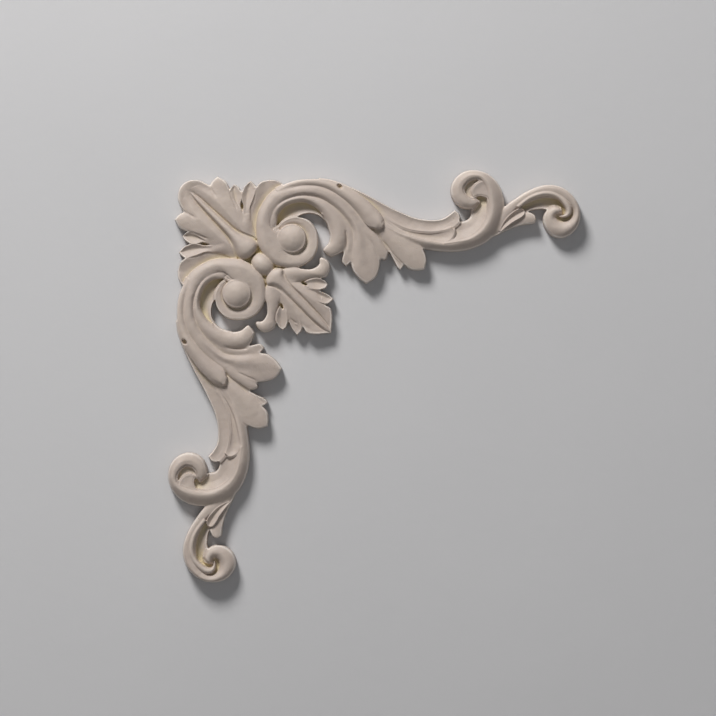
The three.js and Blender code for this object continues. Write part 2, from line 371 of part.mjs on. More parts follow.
    [5, 5.2, 5.4, 5.4, 5.4, 5.4, 5.4, 5.4, 5.4, 5.4, 5.4, 5.4, 5.4, 5.4], [5.2, 5.8, 6.8, 7.4, 7.8, 8, 8, 7.9, 7.8, 7.6, 7.4, 7.4, 7.3, 7], [4.8, 5.2, 6.4, 6.8, 6.8, 6.6, 6, 5, 4.6, 4.6, 5, 5.4, 5.6, 5.6], { mid: [0.5, 0.5, 0.45, 0.4, 0.38, 0.38, 0.4, 0.42, 0.45, 0.5, 0.5, 0.5, 0.5, 0.5], steps: [25, 4] }),
  // second scroll: floor of the eye
  dome([149.8, -24.8], 6, 6, 0, 3, 3.2, { power: 2, root: 0.5, steps: [10, 1] }),
  // second scroll: hollow under the band
  strand(
    [[121.8, -22.2], [127.2, -28.2], [132.2, -31.5], [137.8, -33.8], [143.2, -34.2], [149.8, -31.8]],
    [[124.8, -19.2], [129.8, -25], [133.8, -26.8], [137.8, -27.7], [141.8, -27.5], [147.8, -25.2]],
    [3, 2.8, 2.6, 2.6, 2.8], [3.4, 3.2, 3, 3, 3.2], [4.8, 4.8, 4.8, 4.8, 4.6], { mid: 0.4, power: 1.6, steps: [7, 3] }),
  // second scroll: tongue over the eye
  strand(
    [[126.8, -29.5], [132.8, -34.2], [138.8, -36.5], [143.8, -36.8], [148.8, -35], [152.6, -31.8], [154.6, -28.8], [154.6, -26], [153.1, -24], [150.2, -23.3], [147.9, -24.2]],
    [[128.2, -28], [133.2, -31.8], [138.8, -34], [143.8, -34.2], [147.6, -32.5], [149.9, -30.2], [151.2, -28], [151.6, -26.2], [150.6, -24.8], [149.1, -24.5], [147.9, -24.2]],
    [6.6, 6.8, 7, 7.1, 7.1, 7, 6.8, 6.8, 6.6, 6.4, 6], [7.2, 7.8, 8.1, 8.2, 8.2, 8.2, 8.1, 7.9, 7.6, 7.2, 6.6], [6.4, 7, 7.1, 7.1, 7, 6.8, 6.6, 6.6, 6.6, 6.4, 6], { steps: [11, 3] }),
  // second scroll: ground between the petals
  strand(
    [[112.8, -14.2], [118.8, -18.8], [124.8, -24.2], [129.8, -26.8]],
    [[112.8, -13], [121.2, -17.2], [126.8, -21.2], [132.8, -24.2]],
    [4.2, 4.6, 4.8, 4.8], [4.2, 4.6, 4.8, 4.8], [4.2, 4.6, 4.8, 4.8], { steps: [4, 2] }),
  // second scroll: flared petal
  strand(
    [[112.8, -15.2], [120.2, -19.2], [125.8, -22.8], [129.8, -25], [133.2, -26.3], [136.2, -25], [137.1, -22.8]],
    [[112.2, -13], [117.2, -14.5], [121.2, -16.7], [125.8, -18.5], [131.2, -20], [135.8, -20.5], [137.1, -22.8]],
    [5, 5, 5, 5, 5.2, 5.3, 5], [4.8, 4.6, 4.6, 5.2, 5.8, 5.9, 5.2], [5, 5, 5, 5, 5.1, 5.1, 5], { mid: 0.4, power: 1.6, steps: [8, 2] }),
  // second scroll: narrow petal
  strand(
    [[118.2, -16.8], [121, -22], [124.2, -25.5], [127.5, -27.8], [130.2, -28], [131.2, -26.3]],
    [[119.2, -16.2], [121.8, -18.5], [125.2, -21], [128.8, -23.1], [130.9, -24.8], [131.2, -26.3]],
    [5.6, 6.4, 6.8, 7.1, 7.1, 6.8], [5.4, 5.1, 5, 5.1, 5.6, 6.4], [5.6, 6.6, 7, 7.2, 7.1, 6.8], { mid: 0.4, power: 1.3, steps: [7, 2] }),
];

const PITS = [
  // corner leaf: drilled eye between the fingers
  pit([-10.3, -29.3], 0.9, 2.4, -0.15, 2),
  // inner leaf: drilled eye
  pit([20.8, 9.6], 1.95, 0.75, 0.45, 2),
  // nail hole
  pit([38.7, -39], 1.95, 1.3, 0.7, 5.9),
];

// ---- assembly ----------------------------------------------------------------------------------
// the same shape reflected across the diagonal: x' = -z, z' = -x, with its faces turned back out
function reflected(geometry) {
  const g = geometry.clone();
  const p = g.attributes.position;
  for (let i = 0; i < p.count; i++) p.setXYZ(i, -p.getZ(i), p.getY(i), -p.getX(i));
  const order = g.index.array;
  for (let i = 0; i < order.length; i += 3) [order[i + 1], order[i + 2]] = [order[i + 2], order[i + 1]];
  return g;
}

function solidsOf(item) {
  if (item.rows) {
    const both = [solidUnder(item.rows)];
    if (item.pair) both.push(solidUnder(item.rows.map((row) => row.map(mirror))));
    return both;
  }
  const both = [toSolid(item.geometry)];
  if (item.pair) both.push(toSolid(reflected(item.geometry)));
  return both;
}

let body = null;
for (const item of STRANDS)
  for (const s of solidsOf(item)) body = body ? body.add(s) : s;
for (const item of PITS) for (const s of solidsOf(item)) body = body.subtract(s);
const behind = new THREE.BoxGeometry(600, 20, 600);
behind.translate(0, 10, 0);
body = body.subtract(toSolid(behind));
const mesh = body.getMesh();
const points = new Float32Array(mesh.numVert * 3);
for (let i = 0; i < mesh.numVert; i++)
  points.set(mesh.vertProperties.subarray(i * mesh.numProp, i * mesh.numProp + 3), i * 3);
const geometry = new THREE.BufferGeometry();
geometry.setAttribute("position", new THREE.BufferAttribute(points, 3));
geometry.setIndex(new THREE.BufferAttribute(mesh.triVerts, 1));
geometry.computeVertexNormals();

const onlay = new THREE.Mesh(
  geometry,
  new THREE.MeshStandardMaterial({ color: COLOUR, roughness: ROUGHNESS, metalness: 0, flatShading: true }),
);
onlay.name = "corner_onlay";

const part = new THREE.Group();
part.add(onlay);
export default part;
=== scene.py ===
"""Looks of a cast polyurethane corner onlay: acanthus leaves on the diagonal, two mirrored arms of leaf and scroll.

The relief is a height field over the flat back. Half of it is a list of strands, each lofted between two edge curves, and the
other half is its reflection across the diagonal. The front is meshed from that field, with straight sides and a flat back.
"""
import math

import bpy
import numpy as np
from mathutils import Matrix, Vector
from mathutils.geometry import tessellate_polygon


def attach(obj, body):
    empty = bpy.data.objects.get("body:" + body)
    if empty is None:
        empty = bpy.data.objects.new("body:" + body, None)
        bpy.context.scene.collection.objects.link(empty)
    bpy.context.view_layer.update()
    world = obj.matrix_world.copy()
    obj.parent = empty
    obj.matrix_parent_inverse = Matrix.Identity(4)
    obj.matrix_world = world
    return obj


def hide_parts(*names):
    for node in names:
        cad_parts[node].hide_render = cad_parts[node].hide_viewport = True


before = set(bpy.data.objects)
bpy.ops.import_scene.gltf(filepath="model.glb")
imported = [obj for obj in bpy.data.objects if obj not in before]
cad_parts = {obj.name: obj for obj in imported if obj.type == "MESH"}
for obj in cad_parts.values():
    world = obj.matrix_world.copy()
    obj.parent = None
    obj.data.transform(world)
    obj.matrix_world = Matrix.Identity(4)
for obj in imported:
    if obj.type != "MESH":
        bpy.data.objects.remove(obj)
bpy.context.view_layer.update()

SEED = 7
TRIANGLES = 168000         # of the front
BLUR = 0.13                # mm, the softness that casting leaves
FOOT = 2.0                 # mm, height of the upright part of the sides
DRAFT = 8.0                # rise of the sides above it for each mm inward
VOLUTE = (14.35, -13.10)   # centre of the ball, mm right and down from the bead


# ---- relief as a height field --------------------------------------------------------------------
# Everything here is in millimetres. u runs right, v runs down from the bead, h is the height above the flat back.
CELL = 0.2                 # grid step
LOW, HIGH = -50.0, 162.0   # the grid covers the same span both ways, so its transpose is the mirrored arm
WELD = 0.5                 # width over which two outlines run into each other
REACH = 0.9                # how far a strand's surface is carried past its own edge to meet a neighbour
NODES = int(round((HIGH - LOW) / CELL)) + 1
AXIS = LOW + CELL * np.arange(NODES)


def spline(points, n):
    """n points on the uniform Catmull-Rom curve through points, its ends reflected"""
    P = np.asarray(points, float)
    if len(P) == 1:
        return np.repeat(P, n, 0)
    Q = np.vstack([2 * P[0] - P[1], P, 2 * P[-1] - P[-2]])
    t = np.linspace(0, len(P) - 1, n)
    i = np.minimum(t.astype(int), len(P) - 2)
    f = (t - i)[:, None]
    p0, p1, p2, p3 = Q[i], Q[i + 1], Q[i + 2], Q[i + 3]
    a, b = (p2 - p0) * 0.5, (p3 - p1) * 0.5
    return (2 * p1 - 2 * p2 + a + b) * f**3 + (-3 * p1 + 3 * p2 - 2 * a - b) * f**2 + a * f + p1


def evenly(points, n):
    """the same curve, n points at equal distances along it"""
    C = spline(points, 600)
    d = np.r_[0, np.cumsum(np.hypot(*np.diff(C, axis=0).T))]
    s = np.linspace(0, d[-1], n)
    return np.c_[np.interp(s, d, C[:, 0]), np.interp(s, d, C[:, 1])]


def along(values, n):
    v = np.atleast_1d(np.asarray(values, float))
    return spline(v[:, None], n)[:, :1]


def strand(name, left, right, zl, zc, zr, mid=0.5, power=2.0, edge=0.8, soft=0.6, flutes=None, root=False, over=0.0):
    """a lofted strand between two edge curves, with heights along its left edge, its crest (or trough) and its right edge;
    over carries its surface that far past its edges, so that it crosses its neighbours there"""
    pick = spline if len(left) == len(right) else evenly
    a, b = pick(left, 400), pick(right, 400)
    longest = max(np.hypot(*np.diff(a, axis=0).T).max(), np.hypot(*np.diff(b, axis=0).T).max()) * 400
    nt = int(longest / (CELL * 0.5)) + 2
    ns = int(np.hypot(*(a - b).T).max() / (CELL * 0.45)) + 3
    A, B = pick(left, nt), pick(right, nt)
    s = np.linspace(0, 1, ns)[None, :]
    t = np.linspace(0, 1, nt)[:, None]
    hl, hc, hr, m = (along(q, nt) for q in (zl, zc, zr, mid))
    p = s / m
    q = (1 - s) / (1 - m)
    Z = np.where(s <= m, hl + (hc - hl) * (1 - (1 - np.clip(p, 0, 1)) ** power), hr + (hc - hr) * (1 - (1 - np.clip(q, 0, 1)) ** power))
    if flutes is not None:
        Z = Z + flutes(t, s)
    step = max(2, nt // 110)
    keep = np.unique(np.r_[np.arange(0, nt, step), nt - 1])
    ring = np.vstack([A[keep], B[keep][::-1]])
    return dict(name=name, U=A[:, :1] + (B[:, :1] - A[:, :1]) * s, V=A[:, 1:] + (B[:, 1:] - A[:, 1:]) * s, Z=Z,
                ring=ring, rim=None if root else ring, edge=edge, soft=soft, over=over)


def diagonal(name, stations, zl, zc, zr, **more):
    """a strand on the line between the arms: [distance from the bead, half width]"""
    d = math.sqrt(0.5)
    left = [(s * d + w * d, s * d - w * d) for s, w in stations]
    right = [(s * d - w * d, s * d + w * d) for s, w in stations]
    return strand(name, left, right, zl, zc, zr, **more)


def turn(name, centre, stations, zl, zc, zr, **more):
    """a strand that turns round a centre: [degrees, outer radius, inner radius]"""
    ring = lambda k: [(centre[0] + st[k] * math.cos(math.radians(st[0])), centre[1] - st[k] * math.sin(math.radians(st[0]))) for st in stations]
    return strand(name, ring(1), ring(2), zl, zc, zr, **more)


def dome(name, centre, ru, rv, angle, low, high, power=2.0, root=0.5, edge=0.3, soft=0.3, cut=False, lip=0.0):
    """a rounded cap, raised by lip just inside its edge, or with cut a blind hole whose floor is low"""
    n = int(2 * math.pi * max(ru, rv) / (CELL * 0.45)) + 8
    m = int(max(ru, rv) / (CELL * 0.45)) + 3
    a = np.linspace(0, 2 * math.pi, n)[:, None]
    q = np.linspace(0.0005, 1, m)[None, :]
    eu, ev = ru * q * np.cos(a), rv * q * np.sin(a)
    ca, sa = math.cos(angle), math.sin(angle)
    rise = q**3 if cut else np.clip(1 - q**power, 0, 1) ** root
    t = np.linspace(0, 2 * math.pi, 73)[:-1]
    ring = np.c_[centre[0] + ca * ru * np.cos(t) - sa * rv * np.sin(t), centre[1] + sa * ru * np.cos(t) + ca * rv * np.sin(t)]
    return dict(name=name, U=centre[0] + ca * eu - sa * ev, V=centre[1] + sa * eu + ca * ev, Z=(low + (high - low) * rise + lip * np.exp(-((q - 0.945) / 0.05) ** 2)) * np.ones_like(a),
                ring=ring, rim=None if cut else ring, edge=0.01 if cut else edge, soft=soft, cut=cut)


def score(name, line, width, depth):
    """a crease of this half width pressed into what is below, fading at both ends"""
    return dict(name=name, line=spline(line, 40), width=width, depth=depth)


def gap(pu, pv, line, closed):
    """distance of points to a line of segments"""
    ends = np.roll(line, -1, 0) if closed else line[1:]
    best = np.full(pu.shape, 1e9, np.float32)
    pu, pv = pu.astype(np.float32), pv.astype(np.float32)
    for (au, av), (bu, bv) in zip(line.astype(np.float32), ends.astype(np.float32)):
        du, dv = bu - au, bv - av
        ll = du * du + dv * dv
        if ll < 1e-12:
            continue
        f = np.clip(((pu - au) * du + (pv - av) * dv) / ll, 0, 1)
        np.minimum(best, (pu - au - f * du) ** 2 + (pv - av - f * dv) ** 2, out=best)
    return np.sqrt(best)


def within(pu, pv, ring):
    """nonzero winding number"""
    turns = np.zeros(pu.shape, np.int32)
    for (au, av), (bu, bv) in zip(ring, np.roll(ring, -1, 0)):
        if av == bv:
            continue
        side = (bu - au) * (pv - av) - (pu - au) * (bv - av)
        turns += ((av <= pv) & (bv > pv) & (side > 0)).astype(np.int32)
        turns -= ((av > pv) & (bv <= pv) & (side < 0)).astype(np.int32)
    return turns != 0


def lay(e):
    """a strand on its window of the grid: height and distance inside its outline"""
    U, V, Z, ring = e["U"], e["V"], e["Z"], e["ring"]
    pad = REACH + 2 * CELL
    i0, i1 = (int(np.clip((ring[:, 0].min() - pad - LOW) / CELL, 0, NODES)), int(np.clip((ring[:, 0].max() + pad - LOW) / CELL + 2, 0, NODES)))
    j0, j1 = (int(np.clip((ring[:, 1].min() - pad - LOW) / CELL, 0, NODES)), int(np.clip((ring[:, 1].max() + pad - LOW) / CELL + 2, 0, NODES)))
    gu, gv = np.meshgrid(AXIS[i0:i1], AXIS[j0:j1])
    d = gap(gu.ravel(), gv.ravel(), ring, True).reshape(gu.shape)
    inside = within(gu.ravel(), gv.ravel(), ring).reshape(gu.shape)
    sd = np.where(inside, d, -d)
    Ut, Us = np.gradient(U)
    Vt, Vs = np.gradient(V)
    Zt, Zs = np.gradient(Z)
    det = Ut * Vs - Us * Vt
    ok = np.abs(det) > 1e-9
    det = np.where(ok, det, 1)
    zu = np.clip(np.where(ok, (Zt * Vs - Zs * Vt) / det, 0), -3, 3)
    zv = np.clip(np.where(ok, (Zs * Ut - Zt * Us) / det, 0), -3, 3)
    ci = np.rint((U - LOW) / CELL).astype(int) - i0
    cj = np.rint((V - LOW) / CELL).astype(int) - j0
    good = (ci >= 0) & (cj >= 0) & (ci < i1 - i0) & (cj < j1 - j0)
    zz = Z + zu * (LOW + (ci + i0) * CELL - U) + zv * (LOW + (cj + j0) * CELL - V)
    H = np.full(gu.shape, -1e3)
    np.maximum.at(H, (cj[good], ci[good]), zz[good])
    H[sd < -CELL] = -1e3
    want = sd > -REACH
    for _ in range(6):
        miss = want & (H < -100)
        if not miss.any():
            break
        P = np.pad(H, 1, constant_values=-1e3)
        near = np.stack([P[1 + a:P.shape[0] - 1 + a, 1 + b:P.shape[1] - 1 + b] for a in (-1, 0, 1) for b in (-1, 0, 1) if a or b])
        has = near > -100
        n = has.sum(0)
        fill = miss & (n > 0)
        H[fill] = (np.where(has, near, 0).sum(0) / np.maximum(n, 1))[fill]
    return (slice(j0, j1), slice(i0, i1)), H, sd


def press(Z, e):
    """lowers the surface along a crease"""
    P, w = e["line"], e["width"]
    i0, i1 = (int((P[:, 0].min() - 2 * w - LOW) / CELL), int((P[:, 0].max() + 2 * w - LOW) / CELL) + 2)
    j0, j1 = (int((P[:, 1].min() - 2 * w - LOW) / CELL), int((P[:, 1].max() + 2 * w - LOW) / CELL) + 2)
    gu, gv = np.meshgrid(AXIS[i0:i1], AXIS[j0:j1])
    d = gap(gu, gv, P, False)
    ends = np.minimum(np.hypot(gu - P[0, 0], gv - P[0, 1]), np.hypot(gu - P[-1, 0], gv - P[-1, 1]))
    win = (slice(j0, j1), slice(i0, i1))
    deep = e["depth"] * np.clip(1 - (d / w) ** 2, 0, 1) * np.clip(ends / 1.5, 0.25, 1)
    Z[win] = np.where(Z[win] > -100, Z[win] - deep, Z[win])


def blend(a, b, k):
    """the higher of two surfaces, with a soft join of width k"""
    w = np.clip(1 - np.abs(a - b) / k, 0, 1)
    return np.maximum(a, b) + k * w * w / 4


def weld(elements):
    """all strands as one surface: height Z and distance S inside the outline"""
    Z = np.full((NODES, NODES), -1e3)
    S = np.full((NODES, NODES), -9.0)
    for e in elements:
        if "line" in e:
            press(Z, e)
            continue
        win, H, sd = lay(e)
        a = Z[win]
        reach = sd + e.get("over", 0.0)
        cover = np.clip(reach / CELL + 0.5, 0, 1)
        if e.get("cut"):
            use = (a > -100) & (H > -100) & (H < a)
            Z[win] = np.where(use, a + cover * (H - a), a)
            continue
        if e["rim"] is not None:
            r = e["edge"]
            q = np.clip(r - reach, 0, r)
            H = np.where(H > -100, H - (r - np.sqrt(np.maximum(r * r - q * q, 0))), H)
        had, has = a > -100, H > -100
        up = np.where(had & has, blend(a, H, e["soft"]), np.maximum(a, H))
        near_edge = sd > -REACH
        Z[win] = np.where(had, np.where(cover > 0, a + cover * (up - a), a), np.where(has & near_edge, H, a))
        S[win] = np.where((S[win] > -REACH) & (sd > -REACH), blend(S[win], sd, WELD), np.maximum(S[win], sd))
    return Z, S


def both_arms(Z, S):
    """joins the surface with its reflection across the diagonal"""
    had, has = Z > -100, Z.T > -100
    inside, other = S > 0, S.T > 0
    Zm = np.where(had & has, np.where(inside & other, blend(Z, Z.T, 0.5), np.where(inside, Z, np.where(other, Z.T, np.maximum(Z, Z.T)))), np.maximum(Z, Z.T))
    Sm = np.where((S > -REACH) & (S.T > -REACH), blend(S, S.T, WELD), np.maximum(S, S.T))
    return Zm, Sm


def inward(S):
    """the distance inside the whole outline, from the cells just outside it, up to 1.8 mm"""
    n = 9
    out = np.where((S < 0) & (S > -1.5 * CELL), S, 9.0)
    P = np.pad(out, n, constant_values=9.0)
    D = np.full(S.shape, n * CELL)
    for a in range(-n, n + 1):
        for b in range(-n, n + 1):
            d = math.hypot(a, b) * CELL
            if 0 < d <= n * CELL:
                np.minimum(D, P[n + a:P.shape[0] - n + a, n + b:P.shape[1] - n + b] + d, out=D)
    return np.where(S > 0, np.maximum(D, 0.02), S)


def smooth(A, sigma):
    """gaussian blur, sigma in millimetres"""
    s = sigma / CELL
    n = int(3 * s + 1)
    g = np.exp(-0.5 * (np.arange(-n, n + 1) / s) ** 2)
    g /= g.sum()
    P = np.pad(A, n, mode="edge")
    B = sum(g[i] * P[:, i:i + A.shape[1]] for i in range(2 * n + 1))
    return sum(g[i] * B[i:i + A.shape[0], :] for i in range(2 * n + 1))


def soften(Z, S, sigma):
    """blur that takes only the ornament's own heights, so its edge stays where it is"""
    ok = (Z > -100).astype(float)
    return np.where(ok > 0, smooth(np.where(ok > 0, Z, 0), sigma) / np.maximum(smooth(ok, sigma), 1e-6), Z)


def half_of_the_ornament():
    """the corner leaves, the volute and the right arm, in order from the lowest up"""
    return [
        # ground between the parts of the corner
        strand("web", [(-12.25, -12.25), (-0.25, -14.25), (10.75, -6.25), (14.25, 1.75)],
               [(-12.25, -12.25), (-13.25, -2.25), (-5.25, 8.75), (1.75, 14.25)],
               [3.2], [3.2], [3.2], edge=0.2, soft=0.6),
        # corner leaf
        strand("TLbase", [(-6.25, -12.25), (-11.25, -21.25), (-15.75, -28.25), (-19.75, -33.25), (-22.25, -36.75)],
               [(-0.25, -13.25), (-0.25, -24.25), (-1.75, -30.25), (-2.75, -34.25), (-3.95, -37)],
               [4.4, 4.4, 4.3, 4.1, 4], [4.4, 4.4, 4.3, 4.1, 4], [3.2, 3.2, 3.4, 3.7, 4], edge=0.3, soft=0.8, root=True),
        strand("TL5", [(-6.25, -14.25), (-6.45, -24.25), (-5.45, -31.25), (-3.85, -37.25), (-1.35, -41.15), (3.5, -42.75)],
               [(0.75, -13.25), (1.75, -25.25), (7.25, -33.25), (10.5, -39.25), (7.5, -42.15), (3.5, -42.65)],
               [4.4, 5.2, 5.6, 6, 6, 5.4], [3.4, 3.8, 4.2, 4.4, 4.7, 5], [2.6, 3, 3.6, 4.6, 5.4, 5.3], power=1.5, edge=0.6, soft=0.9),
        diagonal("TL1", [(-20.15, 9), (-30.76, 9.5), (-39.6, 9.5), (-45.61, 8.8), (-49.85, 8.3), (-53.03, 6.9), (-55.51, 4.2), (-56.78, 1.2)],
                 [3.8, 4.4, 4.9, 5.4, 5.8, 5.9, 5.7, 5], [4, 4, 4.1, 4.2, 4.6, 5.2, 5.3, 4.9], [3.8, 4.4, 4.9, 5.4, 5.8, 5.9, 5.7, 5], power=1.4, edge=0.6, soft=1.3),
        strand("TLbody", [(-9.25, -9.25), (-18.25, -18.25), (-27.25, -27.25), (-37.75, -37.75)],
               [(-2.25, -13.25), (-6.25, -21.75), (-11.25, -28.25), (-17.25, -35.75), (-28.75, -40.75)],
               [4, 3.8, 3.8, 4.2], [6.2, 7.1, 6.9, 5.3], [4.4, 5.3, 5.1, 4.4], mid=0.48, power=1.4, edge=0.3, soft=1.1, root=True),
        strand("TL2", [(-17.25, -19.25), (-23.5, -28.25), (-26.45, -35.25), (-25.8, -40.95), (-22.6, -44.35)],
               [(-10.25, -19.25), (-13, -27.25), (-15.75, -34.75), (-17.95, -41.1), (-22.6, -44.35)],
               [4.4, 4.9, 4.9, 4.8, 4.6], [5.2, 6.2, 6.3, 6.1, 5], [4.6, 5.6, 5.6, 5.2, 4.6], edge=0.9, soft=1.2),
        strand("TL3", [(-13, -25.25), (-14.35, -30.25), (-16.35, -35.75), (-16.05, -38.55), (-14, -40.35)],
               [(-10.3, -25.75), (-10.75, -30.25), (-10.15, -35), (-11.75, -38.55), (-14, -40.35)],
               [5.9, 6, 5.9, 5.6, 5.1], [5.6, 4.6, 3.9, 3.9, 4.6], [5.6, 5.6, 5.7, 5.5, 4.9], mid=0.38, power=1.25, edge=0.3, soft=0.3),
        strand("TL4", [(-9.95, -22.25), (-9.65, -27.75), (-10.45, -33.75), (-9.45, -38.85), (-5.95, -42.15)],
               [(-5.75, -22.25), (-6.15, -28.25), (-4.15, -34.25), (-3.25, -38.85), (-5.95, -42.15)],
               [5.6, 5.8, 5.8, 5.7, 5.1], [5.9, 5.1, 4.1, 4, 4.6], [5, 6, 6.1, 5.7, 5.1], mid=0.42, power=1.3, edge=0.3, soft=0.3),
        strand("TLfold", [(-12.25, -14.25), (-11.25, -19.25), (-9.95, -24.75)],
               [(-4.25, -14.25), (-4.95, -20.25), (-5.65, -25.75)],
               [4.5, 5.2, 4.6], [5.4, 6.5, 5.4], [3.4, 4.4, 4.4], mid=0.45, edge=0.2, soft=1.2, root=True),
        diagonal("TLrib", [(-51.62, 0.15), (-48.44, 0.8), (-44.9, 1.4), (-37.12, 1.85), (-29.34, 2.25), (-22.63, 2.7), (-19.09, 3.6), (-15.56, 5), (-12.73, 6.2), (-10.25, 6.4), (-8.66, 5.6), (-7.5, 3.8), (-6.86, 1)],
                 [4.4, 4.3, 4.2, 4.2, 4.2, 4.2, 4.2, 4.2, 4.4, 4.6, 4.6, 4.6, 4.6], [4.7, 5.4, 5.9, 6.7, 7.4, 8, 8.5, 9, 9.3, 9.1, 8.4, 7.4, 6.4], [4.4, 4.3, 4.2, 4.2, 4.2, 4.2, 4.2, 4.2, 4.4, 4.6, 4.6, 4.6, 4.6], power=2.4, edge=0.4, soft=0.2, root=True),
        dome("pit", (-10.3, -29.35), 0.9, 2.4, -0.15, 2, 6.5, cut=True),
        # bead
        dome("bead", (-0.25, 0.25), 6.6, 4.9, 0.79, 4, 9.2, power=2, root=0.55, edge=0.2, soft=0.2),
        # opposite leaf
        diagonal("LR1", [(5.3, 5), (10.25, 6), (18.74, 6), (25.81, 5.5), (30.76, 6), (34.65, 7.1), (39.07, 8.6), (42.07, 7.1), (44.55, 4.7), (46.32, 2.5), (48.26, 0.25)],
                 [5, 5, 5, 5, 5.2, 5.8, 6.3, 6.2, 5.8, 5.4, 4.9], [5, 5, 5, 4.8, 4.5, 4.4, 4.3, 4.3, 4.4, 4.6, 4.7], [5, 5, 5, 5, 5.2, 5.8, 6.3, 6.2, 5.8, 5.4, 4.9], power=1.4, edge=0.5, soft=1.2),
        strand("LRbase", [(14.75, 7.25), (21.75, 8.25), (28.75, 10)],
               [(17.75, 15.75), (22.75, 17.25), (28.75, 18.75)],
               [3.8, 3.8, 3.6], [3.8, 3.8, 3.6], [3.8, 3.8, 3.6], edge=0.3, soft=0.8, root=True),
        strand("LRbody", [(4.75, 3.25), (11.75, 4.75), (17.75, 7.25), (23.75, 11), (28.75, 16.5), (33.25, 23.25)],
               [(6.75, 7.75), (12.25, 12.75), (18.25, 18.75), (24.25, 24.75), (29.25, 29.25), (33.25, 33.25)],
               [4.8, 4.8, 5, 5.2, 5.6, 5.2], [6.5, 7.2, 7.2, 6.9, 6.4, 5.4], [5.4, 5, 4.6, 4.3, 4.2, 4.3], mid=[0.5, 0.5, 0.48, 0.42, 0.32, 0.3], power=1.4, edge=0.2, soft=1, root=True),
        strand("LRa", [(3.75, 5.75), (8.75, 2.55), (14.75, 0.85), (20.25, 1.85), (24.75, 1.95), (28.05, -0.1), (28.35, -2.95), (29.55, -3.8)],
               [(6.75, 13.75), (13.75, 9.75), (20.25, 8.25), (26.75, 6.85), (31.75, 6.15), (33.95, 1.5), (32.65, -2), (29.55, -3.8)],
               [6, 6.2, 6.2, 6, 5.9, 5.8, 5.6, 5.4], [6.8, 7.2, 7.5, 7.3, 7.1, 6.9, 6.6, 6], [5.6, 5.8, 5.8, 5.7, 5.6, 5.6, 5.5, 5.3], mid=0.45, edge=0.9, soft=1.5),
        strand("LRb", [(20.25, 8.75), (23.25, 7.35), (27, 6.55), (31.05, 7.65), (32.85, 10.05)],
               [(20.75, 10.95), (24, 12.15), (27.55, 12.7), (30.95, 12.25), (32.85, 10.05)],
               [6.6, 6.8, 6.6, 6.2, 5.6], [6.3, 5.8, 5.1, 4.9, 5.2], [6, 6.4, 6.5, 6.3, 5.6], mid=0.4, power=1.4, edge=0.3, soft=0.2),
        strand("LRc", [(20.25, 11.35), (24.25, 12.05), (28.55, 12.95), (32.45, 14.65), (35.65, 17.25)],
               [(21.25, 13.55), (24.05, 15.85), (27.65, 18.35), (32.25, 19.85), (35.65, 17.25)],
               [6.4, 6.3, 6.2, 6, 5.4], [6.2, 5.7, 5, 4.8, 5.1], [6.4, 6.7, 6.7, 6.4, 5.4], mid=0.38, power=1.4, edge=0.3, soft=0.2),
        diagonal("LRrib", [(4.95, 1.25), (6.19, 3.5), (7.78, 5), (9.19, 5.3), (10.96, 4.1), (13.44, 3.1), (16.97, 2.6), (25.81, 2.45), (36.42, 2.2), (42.78, 1.6), (45.61, 1), (47.38, 0.25)],
                 [5.6, 6.2, 6.8, 6.9, 6.2, 5.4, 5.1, 5, 5, 5, 4.9, 4.8], [6.4, 7.6, 8.3, 8.5, 8.4, 8.2, 7.8, 7.2, 6.6, 6.1, 5.6, 5.1], [5.6, 6.2, 6.8, 6.9, 6.2, 5.4, 5.1, 5, 5, 5, 4.9, 4.8], power=2.8, edge=0.4, soft=0.2, root=True),
        dome("pit2", (20.85, 9.55), 1.95, 0.75, 0.45, 2, 6.8, cut=True),
        # volute: band and ring
        turn("V", VOLUTE, [(62, 33, 25), (75, 30.75, 22.5), (90, 28.65, 20.65), (113, 25.3, 17.3), (135, 21.85, 14.25), (150, 19.8, 11.75), (163, 18.3, 7.75), (182, 17.3, 6.3), (196, 16.8, 6.25), (215, 16, 6.25), (235, 15.8, 6.25), (253, 15.2, 6.25), (272, 14.8, 6.25), (293, 14.9, 6.25), (315, 14.65, 6.25), (335, 14.2, 6.25), (357, 13.5, 6.25), (378, 13.45, 6.25), (399, 12.95, 6.25), (417, 12.15, 6.25), (434, 11.2, 6.25), (453, 10.2, 6.25), (476, 9.15, 6.25), (500, 8.5, 6.25)],
             [5.4, 6.2, 6.6, 6.4, 6.2, 6.2, 6.4, 6.6, 6.8, 6.8, 6.8, 6.8, 6.8], [6.4, 7.8, 8.4, 8.5, 8.5, 8.3, 7.8, 7.2, 6.8, 6.5, 6.3, 6.2, 6.2], [6.4, 7, 7.4, 7.6, 8, 7.8, 6.6, 5, 4.5, 4.4, 4.4, 4.4, 4.6], mid=[0.5, 0.5, 0.5, 0.45, 0.4, 0.35, 0.3, 0.28, 0.3, 0.34, 0.36, 0.38, 0.4], power=1.9, edge=0.6, soft=0.8),
        # ball and its tail
        dome("ball", (14.65, -12.85), 7.25, 7.25, 0, 7.4, 10.2, power=2, root=1, edge=0.25, soft=0.3, lip=0.3),
        strand("VT", [(6.05, -18.75), (5.25, -16.25), (5.45, -12.75), (7.25, -8.75)],
               [(7.75, -18.85), (9.05, -17.05), (11.05, -15.35), (15.25, -12.75)],
               [6.4, 6.6, 6.4, 5.8], [6.8, 7, 7, 6.4], [6.4, 6.8, 7.2, 7.6], mid=0.45, edge=0.3, soft=1.6),
        # hollow inside the curl
        strand("CW", [(5.75, -16.25), (6.5, -25.25), (11.75, -30.25), (20.25, -31.5), (27.25, -28.25), (31.75, -22.5), (33.65, -15.75)],
               [(11.75, -13.25), (13.25, -21.25), (16.75, -23.5), (20.25, -25.15), (24.25, -25.65), (28.25, -24.35), (31.55, -21.25), (33.45, -15.75)],
